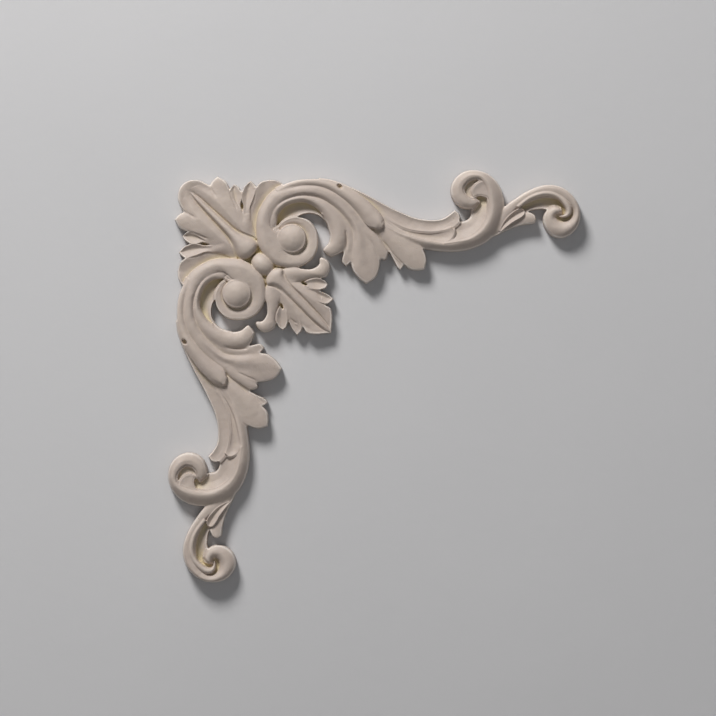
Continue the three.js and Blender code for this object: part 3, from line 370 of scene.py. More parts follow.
               [2.6, 2.6, 2.8, 3, 3.8, 6], [3, 3, 3, 3.4, 4.4, 6], [4, 4.4, 4.6, 4.8, 5.4, 6], mid=0.4, power=1.6, edge=0.5, soft=0.6),
        # arm leaf: its ground
        strand("AG", [(10.25, -37.5), (18.75, -40.75), (28.75, -41.05), (37.75, -38.45), (46.25, -33.55), (52.75, -28.25), (56.25, -23.75)],
               [(6.75, -24.25), (10.75, -29.95), (19.25, -32.55), (28.25, -29.95), (34.75, -24.25), (37.75, -17.75), (37.25, -11.75)],
               [5.2], [5.4], [5.2], edge=0.3, soft=0.8, root=True),
        strand("L2a", [(35.75, -30.75), (41.25, -25), (44.55, -18.75), (45.45, -12.25), (44.45, -5.75), (43.75, -1), (41.55, 0.95)],
               [(29.75, -25.25), (35.75, -21.25), (40.5, -16.25), (41.45, -11.75), (40.35, -6.25), (39.65, -1.5), (41.55, 0.95)],
               [6.8, 6.7, 6.4, 6.2, 5.9, 5.5, 5], [7.2, 7.2, 7, 6.6, 6.2, 5.4, 5], [6.6, 6.6, 6.3, 5.9, 5.8, 5.7, 5], edge=0.4, soft=1.2, over=0.4),
        strand("L3", [(2.55, -16.25), (3.15, -20.25), (5, -27), (10.75, -32), (19.75, -34.6), (29.75, -32.6), (37.25, -27.25), (41.75, -19.75), (42.45, -12.25), (40.5, -6.75), (34.25, -3.75)],
               [(6.05, -16.95), (6.65, -19.95), (7.55, -25.6), (12.2, -30.15), (20.25, -31.75), (27.45, -28.4), (31.75, -22.5), (33.5, -16.25), (33.05, -11.25), (30.25, -7.15), (34.25, -3.75)],
               [5.8, 6.8, 7, 7.1, 7.2, 7.2, 7, 6.6, 6.2, 5.8, 5.4], [5.8, 7.3, 7.7, 8, 8.2, 8.3, 8.4, 8.4, 8.2, 7.4, 6], [5.6, 6.8, 6.9, 6.8, 6.7, 6.6, 6.4, 6.2, 6, 5.8, 5.4], power=2.2, edge=0.4, soft=0.7, over=0.5),
        strand("L2", [(-0.25, -28.25), (4.75, -34.25), (10.75, -37.25), (18.75, -38.95), (26.75, -39.25), (34.25, -37), (41.75, -32), (47.75, -25.75), (52.75, -19.75), (57, -13.75), (58.5, -7.25), (58.9, -0.25), (56.75, 6.25), (52, 9.75)],
               [(4.75, -24.75), (7.25, -28.75), (12.25, -32.5), (19.75, -34.55), (27.75, -33.6), (34.75, -29.6), (40.25, -24.25), (44.25, -18.25), (44.75, -12.25), (43.75, -4.75), (44.75, 2.25), (48, 6.75), (52, 9.75)],
               [6.8, 7.5, 8, 8, 7.9, 7.7, 7.4, 7, 6.5, 6.1, 5.8, 5.4, 5.2], [7.6, 8.3, 8.7, 8.9, 8.9, 8.8, 8.5, 8.1, 7.7, 7.2, 6.7, 6.2, 5.6], [6.8, 7.3, 7.4, 7.4, 7.3, 7.1, 6.8, 6.3, 6, 5.8, 5.6, 5.4, 5.2], power=2.3, edge=0.5, soft=0.5, over=0.5, flutes=lambda t, s: 0.42 * np.sin(2 * np.pi * (s * 1.5 + 0.2)) * np.clip((t - 0.42) / 0.22, 0, 1) * np.clip((0.98 - t) / 0.25, 0, 1) * np.sin(np.pi * s) ** 0.5),
        strand("L2b", [(47.75, -23.25), (55.75, -16.95), (60.25, -10.75), (62.85, -6.25), (62.05, -2.75), (60.75, -2.15)],
               [(47.75, -16.25), (54.25, -10.75), (56.75, -6), (58.25, -3.25), (60.75, -2.15)],
               [5.8, 6.2, 6.2, 5.8, 5.4], [6.8, 7.3, 7.1, 6.6, 5.6], [6, 6, 5.8, 5.6, 5.2], edge=0.8, soft=0.6),
        strand("L1", [(6.75, -37.95), (13.75, -41.05), (21.25, -42.85), (29.75, -42.75), (37.75, -40.25), (44.75, -36.25), (51.45, -31.55), (56.85, -26.35), (59.35, -22.75), (59.85, -20.45)],
               [(8.75, -35.25), (18.25, -39.05), (26.25, -39.3), (33.75, -37.05), (41.25, -32.05), (46.75, -26.75), (50.55, -22.15), (53.05, -19.55), (56.25, -18.45), (59.45, -18.85)],
               [6.6, 7.2, 7.6, 7.8, 7.9, 8, 8, 7.9, 7.8, 7.8], [7.8, 8.4, 8.8, 9, 9.2, 9.3, 9.4, 9.4, 9.2, 8.7], [7.4, 7.9, 8, 7.9, 7.8, 7.7, 7.8, 8.2, 8.6, 8.6], mid=0.45, edge=0.5, soft=0.3, over=0.5),
        # stem
        strand("U1", [(27.75, -43.65), (33.75, -42.85), (41.25, -40.25), (51.25, -35.65), (61.25, -30.25), (68.75, -26.6), (76.25, -23.6), (83.75, -22.35), (89.75, -23), (93.45, -25.15), (96.15, -27.45)],
               [(31.75, -39.25), (37.75, -36.25), (46.25, -31.25), (54.75, -26.75), (61.75, -22.5), (67.75, -19.5), (74.75, -17.15), (83.75, -16.25), (91.25, -17.25), (95.75, -18.75), (98.65, -21.75), (98.65, -25.15), (96.15, -27.45)],
               [7.6, 7.6, 7, 6.4, 6.1, 6, 6, 6, 6, 6], [7.8, 7.4, 6.4, 5.5, 5.2, 5.1, 5.1, 5.1, 5.3, 5.8], [7.6, 7.2, 6.4, 6, 6, 6.2, 6.4, 6.5, 6.5, 6.3], mid=0.42, edge=0.35, soft=0.3),
        strand("U2", [(57.75, -27.25), (67.75, -20.25), (74.75, -17.55), (83.75, -16.55), (90.25, -17.25), (94.25, -18.6)],
               [(55.75, -22.25), (66.25, -16.5), (72.75, -14), (81.25, -11.65), (88.75, -11.05), (93.75, -12.45), (95.85, -16), (94.25, -18.6)],
               [5, 5.6, 6, 6.2, 6.3, 6.8], [5.3, 5.7, 5.7, 5.6, 5.6, 5.9, 7], [5.6, 6.5, 7, 7.1, 7.2, 7.3, 7.2], mid=0.42, edge=0.35, soft=0.5, over=0.3),
        strand("L4", [(50.75, -26.25), (60.75, -21.75), (66.75, -17.5), (73.5, -13.35), (78, -10.65), (80.9, -7), (82.2, -2.25), (81.05, 2.5)],
               [(53.75, -15.25), (61.25, -10.75), (65.25, -5.75), (69.5, -1.25), (73.5, 2.25), (77.5, 2.9), (81.05, 2.5)],
               [4.6, 5.6, 6.2, 6.4, 6.4, 6.2, 5.8, 5.2], [5.4, 6.3, 6.8, 6.9, 6.8, 6.6, 6.1, 5.4], [5, 5.3, 5.6, 5.6, 5.5, 5.4, 5.2, 5.2], power=1.7, edge=0.6, soft=0.5),
        strand("L4a", [(59.75, -16.25), (65.25, -7), (68.25, -3), (70.55, 0.15), (69, 2.75)],
               [(56.75, -14.25), (62.5, -7.25), (65.4, -2.25), (67.25, 1.25), (69, 2.75)],
               [5.4, 5.4, 5.2, 5], [5.2, 4.8, 4.7, 4.8], [5.2, 5.2, 5.2, 5], edge=0.5, soft=0.6),
        # stem rim and first scroll
        strand("S1", [(58.75, -25.25), (68.75, -17.75), (76.25, -14.25), (83.75, -12.25), (91.25, -11.15), (97.25, -12), (102.75, -13.35), (107.75, -16.5), (111.25, -21.25), (113.05, -26.25), (113.05, -32.25), (112.25, -36.75), (110.75, -40.45), (108.25, -42.85), (104.75, -42.85), (101.85, -41), (100.25, -38.25), (100.75, -35.45), (102.35, -33.55), (104.15, -32.65), (106.15, -32.45), (107.95, -31.25)],
               [(63.75, -11.25), (73.75, -9.25), (80.75, -7.8), (88.75, -6.7), (96.25, -6.45), (103.75, -7.6), (110.75, -10.45), (115.75, -14.5), (119.25, -20.25), (120.95, -26.75), (120.75, -33.75), (118.5, -40), (114, -44.85), (108.25, -47.25), (102.25, -47.1), (97.25, -44.25), (94.45, -39.5), (94.45, -34.25), (97.15, -30.1), (101, -27.95), (105, -28.05), (107.95, -31.25)],
               [5.2, 6.6, 7.3, 7.6, 7.7, 7.7, 7.8, 7.9, 8.1, 8.3, 8.3, 8.2, 8.1, 7.9, 7.4, 6.6], [6, 7, 7.6, 8, 8.2, 8.4, 8.6, 8.7, 8.8, 8.8, 8.7, 8.6, 8.5, 8.3, 7.7, 6.6], [4.6, 4.8, 4.8, 4.8, 4.8, 4.8, 4.8, 4.8, 4.9, 5.3, 5.8, 6.2, 6.4, 6.4, 6.2, 6], mid=[0.42, 0.36, 0.3, 0.26, 0.24, 0.23, 0.23, 0.24, 0.27, 0.32, 0.34, 0.36, 0.38, 0.42, 0.46, 0.5], power=1.55, edge=0.6, soft=0.6),
        strand("KN", [(115.75, -31.25), (114, -39), (110.75, -41.55), (107.25, -40.35), (105.25, -37.75), (105.25, -35.65), (106.15, -34.25)],
               [(113.75, -27.25), (113, -33), (110.25, -34.75), (107.75, -34.85), (106.15, -34.25)],
               [7.5, 8, 8.1, 7.9, 7.5, 7.1], [7.6, 8.1, 7.8, 7.4, 7.1, 6.9], [7.6, 8.1, 7.9, 7.5, 7.2, 6.9], power=1.8, edge=0.3, soft=0.8),
        strand("CH", [(87.75, -16.25), (92.25, -19.25), (96.05, -21.55), (99.65, -21.65), (102.35, -22.45), (103.9, -24.25), (104.45, -27.75), (105.75, -31.75), (107.75, -34.25)],
               [(91.25, -10.65), (97.45, -11.55), (103.05, -12.65), (108.45, -15.85), (112.25, -20.85), (113.95, -26.25), (113.55, -30.75), (112.25, -33.75), (110.75, -35.75)],
               [5, 5.1, 5.1, 4.8, 4.5, 4.2, 3.9, 3.9, 4], [5, 5.4, 5.6, 5.5, 5.2, 4.7, 4.1, 3.9, 4], [7.9, 8, 8.1, 8.1, 8, 7.4, 5.6, 4.5, 4.2], mid=0.45, power=1.3, edge=0.4, soft=1, over=0.6),
        strand("eye1", [(103.75, -44.25), (99.25, -42.25), (98.75, -36.75), (102.15, -31.25)],
               [(112.75, -43.25), (110.75, -39.25), (108.95, -36.25), (106.55, -31.95)],
               [5.6, 5.6, 5.7, 5.9], [5.7, 5.7, 5.8, 6], [5.6, 5.6, 5.7, 5.9], edge=0.2, soft=0.4),
        strand("EF", [(103.75, -40.75), (102.05, -38.25), (102.35, -35.25), (103.75, -33.25)],
               [(108.25, -42.25), (105.75, -39.25), (105.25, -36.25), (106.75, -33.75)],
               [5.6, 5.6, 5.6, 5.8], [5.8, 5.8, 5.9, 6.2], [6, 6, 6.3, 6.8], power=1.2, edge=0.2, soft=0.6, root=True),
        # second scroll
        strand("B2", [(111.75, -14.25), (115.75, -22.25), (120.75, -28.75), (126.25, -32.9), (132.25, -36.75), (138.75, -39.45), (144.75, -40.1), (150.75, -38.45), (155.75, -34.35), (158.75, -29), (159.25, -23.25), (157.25, -17.95), (153.25, -14.35), (148.75, -13.25), (144.25, -14.95), (141.05, -18.95), (140.45, -23.75), (142.25, -27.35), (145.75, -29.25), (148.45, -28.65)],
               [(112.95, -12.95), (118.75, -16.55), (122.75, -22.75), (127.25, -28.25), (132.25, -31.55), (137.75, -33.75), (143.25, -34.25), (148.75, -33), (152.75, -30.25), (155.05, -27), (154.45, -24.05), (152.25, -22.25), (149.95, -21.85), (148.25, -22.35), (147.35, -23.25), (146.95, -24.05), (147.05, -24.75), (147.55, -25.15), (148.25, -25.35), (149.35, -25.55)],
               [5, 5.2, 5.4, 5.4, 5.4, 5.4, 5.4, 5.4, 5.4, 5.4, 5.4, 5.4, 5.4, 5.4], [5.2, 5.8, 6.8, 7.4, 7.8, 8, 8, 7.9, 7.8, 7.6, 7.4, 7.4, 7.3, 7], [4.8, 5.2, 6.4, 6.8, 6.8, 6.6, 6, 5, 4.6, 4.6, 5, 5.4, 5.6, 5.6], mid=[0.5, 0.5, 0.45, 0.4, 0.38, 0.38, 0.4, 0.42, 0.45, 0.5, 0.5, 0.5, 0.5, 0.5], edge=0.9, soft=0.5),
        dome("eye2", (149.75, -24.75), 6, 6, 0, 3, 3.2, power=2, root=0.5, edge=0.2, soft=0.5),
        strand("CW2", [(121.75, -22.25), (127.25, -28.25), (132.25, -31.55), (137.75, -33.75), (143.25, -34.25), (149.75, -31.75)],
               [(124.75, -19.25), (129.75, -25), (133.75, -26.85), (137.75, -27.65), (141.75, -27.45), (147.75, -25.25)],
               [3, 2.8, 2.6, 2.6, 2.8], [3.4, 3.2, 3, 3, 3.2], [4.8, 4.8, 4.8, 4.8, 4.6], mid=0.4, power=1.6, edge=0.5, soft=0.6),
        strand("TG", [(126.75, -29.45), (132.75, -34.15), (138.75, -36.55), (143.75, -36.85), (148.75, -34.95), (152.55, -31.85), (154.55, -28.75), (154.65, -25.95), (153.05, -23.95), (150.25, -23.35), (147.85, -24.15)],
               [(128.25, -28.05), (133.25, -31.85), (138.75, -33.95), (143.75, -34.15), (147.55, -32.55), (149.85, -30.25), (151.25, -27.95), (151.55, -26.15), (150.65, -24.85), (149.15, -24.45), (147.85, -24.15)],
               [6.6, 6.8, 7, 7.1, 7.1, 7, 6.8, 6.8, 6.6, 6.4, 6], [7.2, 7.8, 8.1, 8.2, 8.2, 8.2, 8.1, 7.9, 7.6, 7.2, 6.6], [6.4, 7, 7.1, 7.1, 7, 6.8, 6.6, 6.6, 6.6, 6.4, 6], edge=0.35, soft=0.3, root=True),
        strand("FW", [(112.75, -14.25), (118.75, -18.75), (124.75, -24.25), (129.75, -26.75)],
               [(112.75, -13), (121.25, -17.25), (126.75, -21.25), (132.75, -24.25)],
               [4.2, 4.6, 4.8, 4.8], [4.2, 4.6, 4.8, 4.8], [4.2, 4.6, 4.8, 4.8], edge=0.3, soft=0.8),
        strand("F2", [(112.75, -15.25), (120.25, -19.25), (125.75, -22.75), (129.75, -24.95), (133.25, -26.35), (136.25, -24.95), (137.05, -22.75)],
               [(112.25, -12.95), (117.25, -14.55), (121.25, -16.65), (125.75, -18.45), (131.25, -19.95), (135.75, -20.55), (137.05, -22.75)],
               [5, 5, 5, 5, 5.2, 5.3, 5], [4.8, 4.6, 4.6, 5.2, 5.8, 5.9, 5.2], [5, 5, 5, 5, 5.1, 5.1, 5], mid=0.4, power=1.6, edge=0.4, soft=0.6),
        strand("F1", [(118.25, -16.75), (121, -21.95), (124.25, -25.45), (127.5, -27.75), (130.25, -27.95), (131.25, -26.35)],
               [(119.25, -16.25), (121.75, -18.45), (125.25, -21.05), (128.75, -23.1), (130.9, -24.85), (131.25, -26.35)],
               [5.6, 6.4, 6.8, 7.1, 7.1, 6.8], [5.4, 5.1, 5, 5.1, 5.6, 6.4], [5.6, 6.6, 7, 7.2, 7.1, 6.8], mid=0.4, power=1.3, edge=0.3, soft=0.3),
        # nail hole
        dome("nail", (38.7, -39.05), 1.95, 1.3, 0.7, 5.9, 9.4, cut=True),
        # pinhole left by the casting
        dome("pinhole", (127.25, -31.95), 0.4, 0.35, 0, 6, 8, cut=True),
        # creases: beside the veins and between the lobes
        score("s1", [(-36, -36.75), (-30.75, -32.75), (-24.95, -27.55), (-19.15, -22.35), (-14.1, -17.9), (-10.95, -16.05), (-7.45, -14.55), (-4.6, -13.4), (-2.65, -11.65)], 0.8, 0.65),
        score("s2", [(10.2, 3.05), (10.75, 5.05), (11.8, 7.35), (13.95, 10.25), (20.1, 16.55), (27.35, 24.25), (31.4, 29.15), (32.95, 31.65)], 0.75, 0.6),
        score("s3", [(-16.15, -37.55), (-15.75, -34.25), (-14.15, -30.25), (-12.75, -27.25)], 0.6, 0.4),
        score("s4", [(-3.15, -38.25), (-4.05, -33.25), (-5.65, -27.25), (-5.75, -21.25)], 0.65, 0.2),
        score("s5", [(-26.45, -38.95), (-24.95, -36.45), (-23.25, -33.75)], 0.8, 0.4),
        score("s6", [(28, 6.35), (24.25, 7.05), (20.25, 8.15)], 0.6, 0.25),
        score("s7", [(58.05, -3), (56, -7.75), (54, -12.25)], 0.6, 0.3),
        score("s8", [(42.05, -7.25), (42.15, -12.25), (41.45, -17.75)], 0.6, 0.4),
    ]


# ---- from the field to a mesh ---------------------------------------------------------------------
def lumps(size, amplitude, rng):
    """slow random rise and fall over the grid, of about this size in millimetres"""
    n = int((HIGH - LOW) / size) + 5
    coarse = rng.standard_normal((n, n))
    t = (AXIS - LOW) / size + 1
    i = t.astype(int)
    f = t - i
    w = np.stack([((1 - f) ** 3) / 6, (3 * f**3 - 6 * f**2 + 4) / 6, (-3 * f**3 + 3 * f**2 + 3 * f + 1) / 6, f**3 / 6])
    M = np.zeros((NODES, n))
    for q in range(4):
        M[np.arange(NODES), i + q - 1] += w[q]
    return amplitude * 1.6 * (M @ coarse @ M.T)


def contour(Z, S):
    """triangles over the cells inside the outline, with the cells on it cut at the outline: points (u, v, h) and faces"""
    inside = S > 0
    code = inside[:-1, :-1] * 1 + inside[:-1, 1:] * 2 + inside[1:, 1:] * 4 + inside[1:, :-1] * 8
    idx = np.full(S.shape, -1, np.int64)
    jj, ii = np.nonzero(inside)
    idx[jj, ii] = np.arange(len(jj))
    points = [np.c_[AXIS[ii], AXIS[jj], Z[jj, ii]]]
    count = len(jj)
    across = inside[:, :-1] != inside[:, 1:]
    down = inside[:-1, :] != inside[1:, :]
    eh = np.full(across.shape, -1, np.int64)
    j, i = np.nonzero(across)
    f = S[j, i] / (S[j, i] - S[j, i + 1])
    f = np.clip(f, 0.04, 0.96)
    eh[j, i] = count + np.arange(len(j))
    count += len(j)
    points.append(np.c_[AXIS[i] + f * CELL, AXIS[j], Z[j, i] + f * (Z[j, i + 1] - Z[j, i])])
    ev = np.full(down.shape, -1, np.int64)
    j, i = np.nonzero(down)
    f = S[j, i] / (S[j, i] - S[j + 1, i])
    f = np.clip(f, 0.04, 0.96)
    ev[j, i] = count + np.arange(len(j))
    points.append(np.c_[AXIS[i], AXIS[j] + f * CELL, Z[j, i] + f * (Z[j + 1, i] - Z[j, i])])
    faces = []
    for c in range(1, 16):
        j, i = np.nonzero(code == c)
        if not len(j):
            continue
        corner = [idx[j, i], idx[j, i + 1], idx[j + 1, i + 1], idx[j + 1, i]]
        edge = [eh[j, i], ev[j, i + 1], eh[j + 1, i], ev[j, i]]
        if c == 15:
            a = np.abs(Z[j, i] - Z[j + 1, i + 1]) < np.abs(Z[j, i + 1] - Z[j + 1, i])
            faces.append(np.c_[corner[0], corner[1], corner[2]][a])
            faces.append(np.c_[corner[0], corner[2], corner[3]][a])
            faces.append(np.c_[corner[0], corner[1], corner[3]][~a])
            faces.append(np.c_[corner[1], corner[2], corner[3]][~a])
            continue
        if c in (5, 10):
            loops = [[corner[k], edge[k], edge[(k + 3) % 4]] for k in range(4) if c >> k & 1]
        else:
            loop = []
            for k in range(4):
                here, then = c >> k & 1, c >> ((k + 1) % 4) & 1
                if here:
                    loop.append(corner[k])
                if here != then:
                    loop.append(edge[k])
            loops = [loop]
        for loop in loops:
            for q in range(1, len(loop) - 1):
                faces.append(np.c_[loop[0], loop[q], loop[q + 1]])
    return np.vstack(points), np.vstack(faces)


def mesh_of(name, points, faces):
    me = bpy.data.meshes.new(name)
    me.vertices.add(len(points))
    me.vertices.foreach_set("co", np.ascontiguousarray(points, np.float32).ravel())
    me.loops.add(len(faces) * 3)
    me.loops.foreach_set("vertex_index", np.ascontiguousarray(faces, np.int32).ravel())
    me.polygons.add(len(faces))
    me.polygons.foreach_set("loop_start", np.arange(len(faces), dtype=np.int32) * 3)
    me.update(calc_edges=True)
    me.validate()
    return me


def thinned(points, faces, target):
    """the same surface with about target triangles, fewest where it is flattest"""
    me = mesh_of("front", points, faces)
    ob = bpy.data.objects.new("front", me)
    bpy.context.scene.collection.objects.link(ob)
    m = ob.modifiers.new("thin", "DECIMATE")
    m.ratio = min(1.0, target / len(faces))
    m.use_collapse_triangulate = True
    out = bpy.data.meshes.new_from_object(ob.evaluated_get(bpy.context.evaluated_depsgraph_get()))
    co = np.zeros(len(out.vertices) * 3, np.float32)
    out.vertices.foreach_get("co", co)
    out.calc_loop_triangles()
    tri = np.zeros(len(out.loop_triangles) * 3, np.int32)
    out.loop_triangles.foreach_get("vertices", tri)
    bpy.data.objects.remove(ob)
    bpy.data.meshes.remove(me)
    bpy.data.meshes.remove(out)
    return co.reshape(-1, 3).astype(float), tri.reshape(-1, 3)


def rims(faces):
    """the open edges of a surface as closed loops of vertices"""
    e = np.vstack([faces[:, [0, 1]], faces[:, [1, 2]], faces[:, [2, 0]]]).astype(np.int64)
    n = e.max() + 1
    fwd, rev = e[:, 0] * n + e[:, 1], e[:, 1] * n + e[:, 0]
    open_ = e[~np.isin(fwd, rev)]
    follow = {}
    for a, b in open_:
        follow.setdefault(int(a), []).append(int(b))
    loops = []
    while follow:
        start = next(iter(follow))
        loop, here = [start], start
        while True:
            ways = follow[here]
            nxt = ways.pop()
            if not ways:
                del follow[here]
            if nxt == start:
                break
            loop.append(nxt)
            here = nxt
        loops.append(loop)
    return loops


def closed(points, faces):
    """adds straight sides down to the flat back, and the back"""
    loops = rims(faces)
    base = len(points)
    low, sides, place, outline = [], [], {}, []
    for loop in loops:
        for v in loop:
            place[v] = base + len(low)
            low.append((points[v, 0], points[v, 1], 0.0))
        outline.append([Vector((points[v, 0], points[v, 1], 0)) for v in loop])
        for a, b in zip(loop, loop[1:] + loop[:1]):
            sides += [(b, a, place[a]), (b, place[a], place[b])]
    order = [place[v] for loop in loops for v in loop]
    back = [tuple(order[i] for i in t) for t in tessellate_polygon(outline)]
    P = np.vstack([points, np.array(low)])
    B = np.array(back)
    u, v = P[:, 0], P[:, 1]
    area = (u[B[:, 1]] - u[B[:, 0]]) * (v[B[:, 2]] - v[B[:, 0]]) - (u[B[:, 2]] - u[B[:, 0]]) * (v[B[:, 1]] - v[B[:, 0]])
    top = faces[0]
    sign = np.sign((u[top[1]] - u[top[0]]) * (v[top[2]] - v[top[0]]) - (u[top[2]] - u[top[0]]) * (v[top[1]] - v[top[0]]))
    B[np.sign(area) == sign] = B[np.sign(area) == sign][:, ::-1]
    return P, np.vstack([faces, np.array(sides), B]), len(faces), len(sides)


def sample(A, u, v):
    """bilinear reading of a grid"""
    x, y = (u - LOW) / CELL, (v - LOW) / CELL
    i, j = np.clip(x.astype(int), 0, NODES - 2), np.clip(y.astype(int), 0, NODES - 2)
    f, g = x - i, y - j
    return (A[j, i] * (1 - f) + A[j, i + 1] * f) * (1 - g) + (A[j + 1, i] * (1 - f) + A[j + 1, i + 1] * f) * g


def onlay():
    Z, S = both_arms(*weld(half_of_the_ornament()))
    solid = S > 0
    Z = soften(Z, S, BLUR)
    rng = np.random.default_rng(SEED)
    Z = np.where(Z > -100, Z + lumps(7.0, 0.07, rng) + lumps(2.6, 0.045, rng) + lumps(1.1, 0.022, rng), Z)
    S = smooth(np.clip(S, -3, 3), 0.15)
    S = inward(S)
    # sides lean in a little toward the front, as they must to leave the mould
    lean = FOOT + DRAFT * S
    Z = np.where(Z > -100, -blend(-Z, -lean, 0.9), Z)
    # how far a place lies below what is round it, and how far above
    flat = np.where(solid, Z, 0)
    share = smooth(solid.astype(float), 2.2)
    around = smooth(flat, 2.2) / np.maximum(share, 0.05)
    hollow = np.where(solid, around - Z, 0)
    wide = smooth(flat, 5.0) / np.maximum(smooth(solid.astype(float), 5.0), 0.05)
    depth = np.where(solid, wide - Z, 0)
    edge = np.clip(S, 0, 3)
    points, faces = contour(np.maximum(Z, 0.6), S)
    points, faces = thinned(points, faces, TRIANGLES)
    P, F, n_front, n_side = closed(points, faces)
    co = np.c_[P[:, 0], -P[:, 2], -P[:, 1]] / 1000
    me = mesh_of("corner_onlay_cast", co, F)
    # near the outline neither counts, and the rim is marked by itself
    within = np.clip((S - 0.5) / 1.6, 0, 1)
    # rim marks a band just inside the outline on raised parts, which the material paints as a highlight
    rim = np.exp(-(((edge - 0.45) / 0.42) ** 2)) * np.clip((Z - 3.0) / 2.0, 0, 1)
    # hollow and depth drive the painted recess light and the painted highlight on raised parts; rim drives the painted
    # rim highlight
    for name, grid in (("hollow", smooth(hollow, 0.4) * within), ("depth", depth * within), ("rim", rim)):
        a = me.attributes.new(name, "FLOAT", "POINT")
        a.data.foreach_set("value", sample(grid, P[:, 0], P[:, 1]).astype(np.float32))
    me.polygons.foreach_set("use_smooth", np.ones(len(me.polygons), bool))
    me.set_sharp_from_angle(angle=math.radians(55))
    print("front", n_front, "sides", n_side, "all", len(F))
    ob = bpy.data.objects.new("corner_onlay_cast", me)
    bpy.context.scene.collection.objects.link(ob)
    inner, cells = contour(Z, S - 1.5)
    return ob, [[(inner[v, 0] / 1000, -inner[v, 1] / 1000) for v in loop[::3]] for loop in rims(cells) if len(loop) > 60]


# ---- materials ------------------------------------------------------------------------------------
class Nodes:
    """short way to write a node tree"""

    def __init__(self, name):
        self.mat = bpy.data.materials.new(name)
        self.mat.use_nodes = True
        self.tree = self.mat.node_tree
        self.tree.nodes.clear()

    def node(self, kind, values=None, **settings):
        n = self.tree.nodes.new(kind)
        for k, v in settings.items():
            setattr(n, k, v)
        for k, v in (values or {}).items():
            if isinstance(v, bpy.types.NodeSocket):
                self.tree.links.new(v, n.inputs[k])
            else:
                n.inputs[k].default_value = v
        return n

    def noise(self, where, scale, detail=3.0, roughness=0.5):
        return self.node("ShaderNodeTexNoise", {"Vector": where, "Scale": scale, "Detail": detail, "Roughness": roughness}).outputs[0]

    def span(self, value, a, b, c, d):
        return self.node("ShaderNodeMapRange", {0: value, 1: a, 2: b, 3: c, 4: d}).outputs[0]

    def math(self, kind, a, b=0.0):
        return self.node("ShaderNodeMath", {0: a, 1: b}, operation=kind).outputs[0]

    def mix(self, share, a, b, kind="MIX"):
        n = self.node("ShaderNodeMix", data_type="RGBA", blend_type=kind)
        for slot, v in ((0, share), (6, a), (7, b)):
            if isinstance(v, bpy.types.NodeSocket):
                self.tree.links.new(v, n.inputs[slot])
            else:
                n.inputs[slot].default_value = v
        return n.outputs[2]


def srgb(r, g, b):
    lin = lambda c: c / 12.92 if c <= 0.04045 else ((c + 0.055) / 1.055) ** 2.4
    return (lin(r / 255), lin(g / 255), lin(b / 255), 1.0)


def cast_material():
    n = Nodes("cast_polyurethane_cream")
    at = n.node("ShaderNodeTexCoord").outputs["Object"]
    hollow = n.node("ShaderNodeAttribute", attribute_name="hollow").outputs["Fac"]
    depth = n.node("ShaderNodeAttribute", attribute_name="depth").outputs["Fac"]
    clouds = n.noise(at, 45, 4, 0.55)
    blotch = n.noise(at, 160, 3, 0.6)
    grain = n.noise(at, 1400, 2, 0.6)
    # body colour: cream, a little pinker or yellower from place to place
    colour = n.mix(n.span(clouds, 0.35, 0.68, 0, 1), srgb(186, 172.5, 164), srgb(196, 182.5, 172))
    colour = n.mix(n.span(blotch, 0.42, 0.72, 0, 0.35), colour, srgb(178, 164, 153))
    # painted light: hollows and deep places are painted paler and yellower, standing in for the warm bounced light and
    # shade that gathers there
    low = n.math("ADD", n.span(hollow, 0.25, 1.7, 0, 0.6), n.span(depth, 0.9, 3.4, 0, 0.4))
    colour = n.mix(low, colour, srgb(217, 202, 163))
    # raised parts are rubbed paler
    # painted highlight: parts that stand above what is round them are painted paler
    colour = n.mix(n.span(hollow, -0.25, -1.1, 0, 0.4), colour, srgb(216, 204, 193))
    # painted highlight: the rim of every lobe and strand at the outline is painted paler still
    painted_rim_highlight = n.node("ShaderNodeAttribute", attribute_name="rim").outputs["Fac"]
    colour = n.mix(n.math("MULTIPLY", painted_rim_highlight, n.span(blotch, 0.3, 0.7, 0.5, 0.95)), colour, srgb(234, 226, 218))
    # dark specks of dust and mould
    speck = n.node("ShaderNodeTexVoronoi", {"Vector": at, "Scale": 330.0}).outputs["Distance"]
    rare = n.noise(at, 120, 1, 0.5)
    speck = n.math("MULTIPLY", n.span(speck, 0.16, 0.05, 0, 1), n.span(rare, 0.6, 0.72, 0, 0.5))
    colour = n.mix(speck, colour, srgb(150, 137, 116))
    rough = n.math("ADD", n.span(blotch, 0.3, 0.7, 0.5, 0.66), n.span(grain, 0.3, 0.7, -0.03, 0.03))
    fine = n.math("ADD", n.math("MULTIPLY", grain, 0.25), n.math("MULTIPLY", n.noise(at, 420, 4, 0.6), 0.75))
    pit = n.node("ShaderNodeTexVoronoi", {"Vector": at, "Scale": 520.0}).outputs["Distance"]
    pit = n.math("MULTIPLY", n.span(pit, 0.2, 0.0, 0, -0.6), n.span(rare, 0.5, 0.62, 0, 1))
    bump = n.node("ShaderNodeBump", {"Strength": 0.8, "Distance": 0.00028, "Height": n.math("ADD", fine, pit)})
    shader = n.node("ShaderNodeBsdfPrincipled", {"Base Color": colour, "Roughness": rough, "Normal": bump.outputs[0],
                    "IOR": 1.45, "Subsurface Weight": 0.08, "Subsurface Scale": 0.0012, "Specular IOR Level": 0.45})
    shader.inputs["Subsurface Radius"].default_value = (1.0, 0.75, 0.5)
    n.node("ShaderNodeOutputMaterial", {"Surface": shader.outputs[0]})
    return n.mat


def paint(name, colour, scale):
    """pale matt paint with slight mottling, seen from the front only"""
    n = Nodes(name)
    at = n.node("ShaderNodeTexCoord").outputs["Object"]
    tone = n.mix(n.span(n.noise(at, scale, 4, 0.55), 0.3, 0.7, 0, 1), srgb(*colour), srgb(*[c + 5 for c in colour]))
    bump = n.node("ShaderNodeBump", {"Strength": 0.15, "Distance": 0.0004, "Height": n.noise(at, scale * 60, 2, 0.5)})
    shader = n.node("ShaderNodeBsdfPrincipled", {"Base Color": tone, "Roughness": 0.8, "Normal": bump.outputs[0], "Specular IOR Level": 0.2})
    n.node("ShaderNodeOutputMaterial", {"Surface": shader.outputs[0]})
    return n.mat


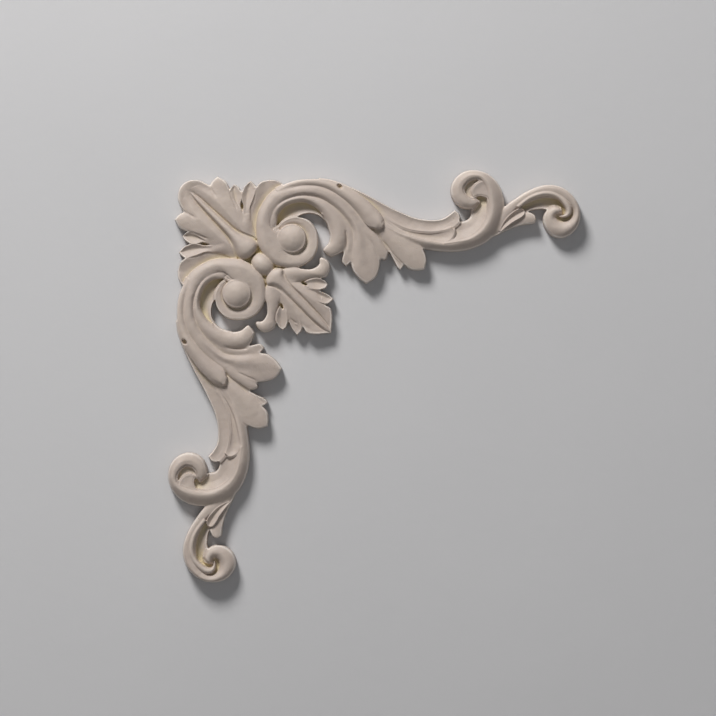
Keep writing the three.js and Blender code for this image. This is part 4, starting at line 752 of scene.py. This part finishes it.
# ---- the piece --------------------------------------------------------------------------------------
piece, opening = onlay()
piece.data.materials.append(cast_material())
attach(piece, "root")
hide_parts("corner_onlay")

# ---- stage ------------------------------------------------------------------------------------------
WALL_Y = 0.0006


def sheet_of(name, corners, material, holes=()):
    """a flat sheet; holes are outlines in x and z, left open"""
    loops = [list(corners)] + [[(x, corners[0][1], z) for x, z in hole] for hole in holes]
    me = bpy.data.meshes.new(name)
    me.from_pydata([p for loop in loops for p in loop], [], tessellate_polygon([[Vector((p[0], p[2] if holes else p[1], 0)) for p in loop] for loop in loops]))
    ob = bpy.data.objects.new(name, me)
    bpy.context.scene.collection.objects.link(ob)
    me.materials.append(material)
    return ob


FLOOR_Z = -1.3
# the wall is open behind the onlay, a little inside its outline, so that the flat back can be seen from behind
wall = sheet_of("wall", [(-1.6, WALL_Y, FLOOR_Z), (1.7, WALL_Y, FLOOR_Z), (1.7, WALL_Y, 1.2), (-1.6, WALL_Y, 1.2)], paint("wall_paint", (204, 204, 206), 3.0), opening)
ground = sheet_of("floor", [(-1.6, -2.6, FLOOR_Z), (1.7, -2.6, FLOOR_Z), (1.7, 2.6, FLOOR_Z), (-1.6, 2.6, FLOOR_Z)], paint("floor_paint", (205, 204, 202), 2.0))


def lamp(name, at, to, width, height, power, colour):
    data = bpy.data.lights.new(name, "AREA")
    data.shape, data.size, data.size_y = "RECTANGLE", width, height
    data.energy, data.color = power, colour
    ob = bpy.data.objects.new(name, data)
    ob.location = at
    ob.rotation_mode = "QUATERNION"
    ob.rotation_quaternion = (Vector(to) - Vector(at)).to_track_quat("-Z", "Y")
    bpy.context.scene.collection.objects.link(ob)
    return ob


AIM = (0.05, 0.0, -0.05)
lamp("key", (-0.48, -0.86, 1.22), AIM, 0.45, 0.45, 27.5, (1.0, 0.985, 0.965))
lamp("fill", (0.9, -1.7, -0.3), AIM, 1.6, 1.6, 2.2, (0.97, 0.98, 1.0))
lamp("behind", (0.7, 1.5, 1.0), AIM, 0.9, 0.9, 22, (1.0, 0.99, 0.97))
world = bpy.data.worlds.new("soft")
world.use_nodes = True
world.node_tree.nodes["Background"].inputs[0].default_value = (0.80, 0.81, 0.83, 1)
world.node_tree.nodes["Background"].inputs[1].default_value = 0.15
bpy.context.scene.world = world
bpy.context.scene.view_settings.view_transform = "Standard"

# ---- camera: straight on, the frame 358 mm wide at the relief's middle height -------------------------
LENS, SENSOR, WIDE, MIDDLE = 135.0, 36.0, 0.358, 0.006
data = bpy.data.cameras.new("camera")
data.lens, data.sensor_width, data.sensor_fit = LENS, SENSOR, "HORIZONTAL"
data.clip_start, data.clip_end = 0.01, 20
camera = bpy.data.objects.new("camera", data)
camera.location = (0.04775, -MIDDLE - WIDE * LENS / SENSOR, -0.04675)
camera.rotation_euler = (math.radians(90), 0, 0)
bpy.context.scene.collection.objects.link(camera)
bpy.context.scene.camera = camera

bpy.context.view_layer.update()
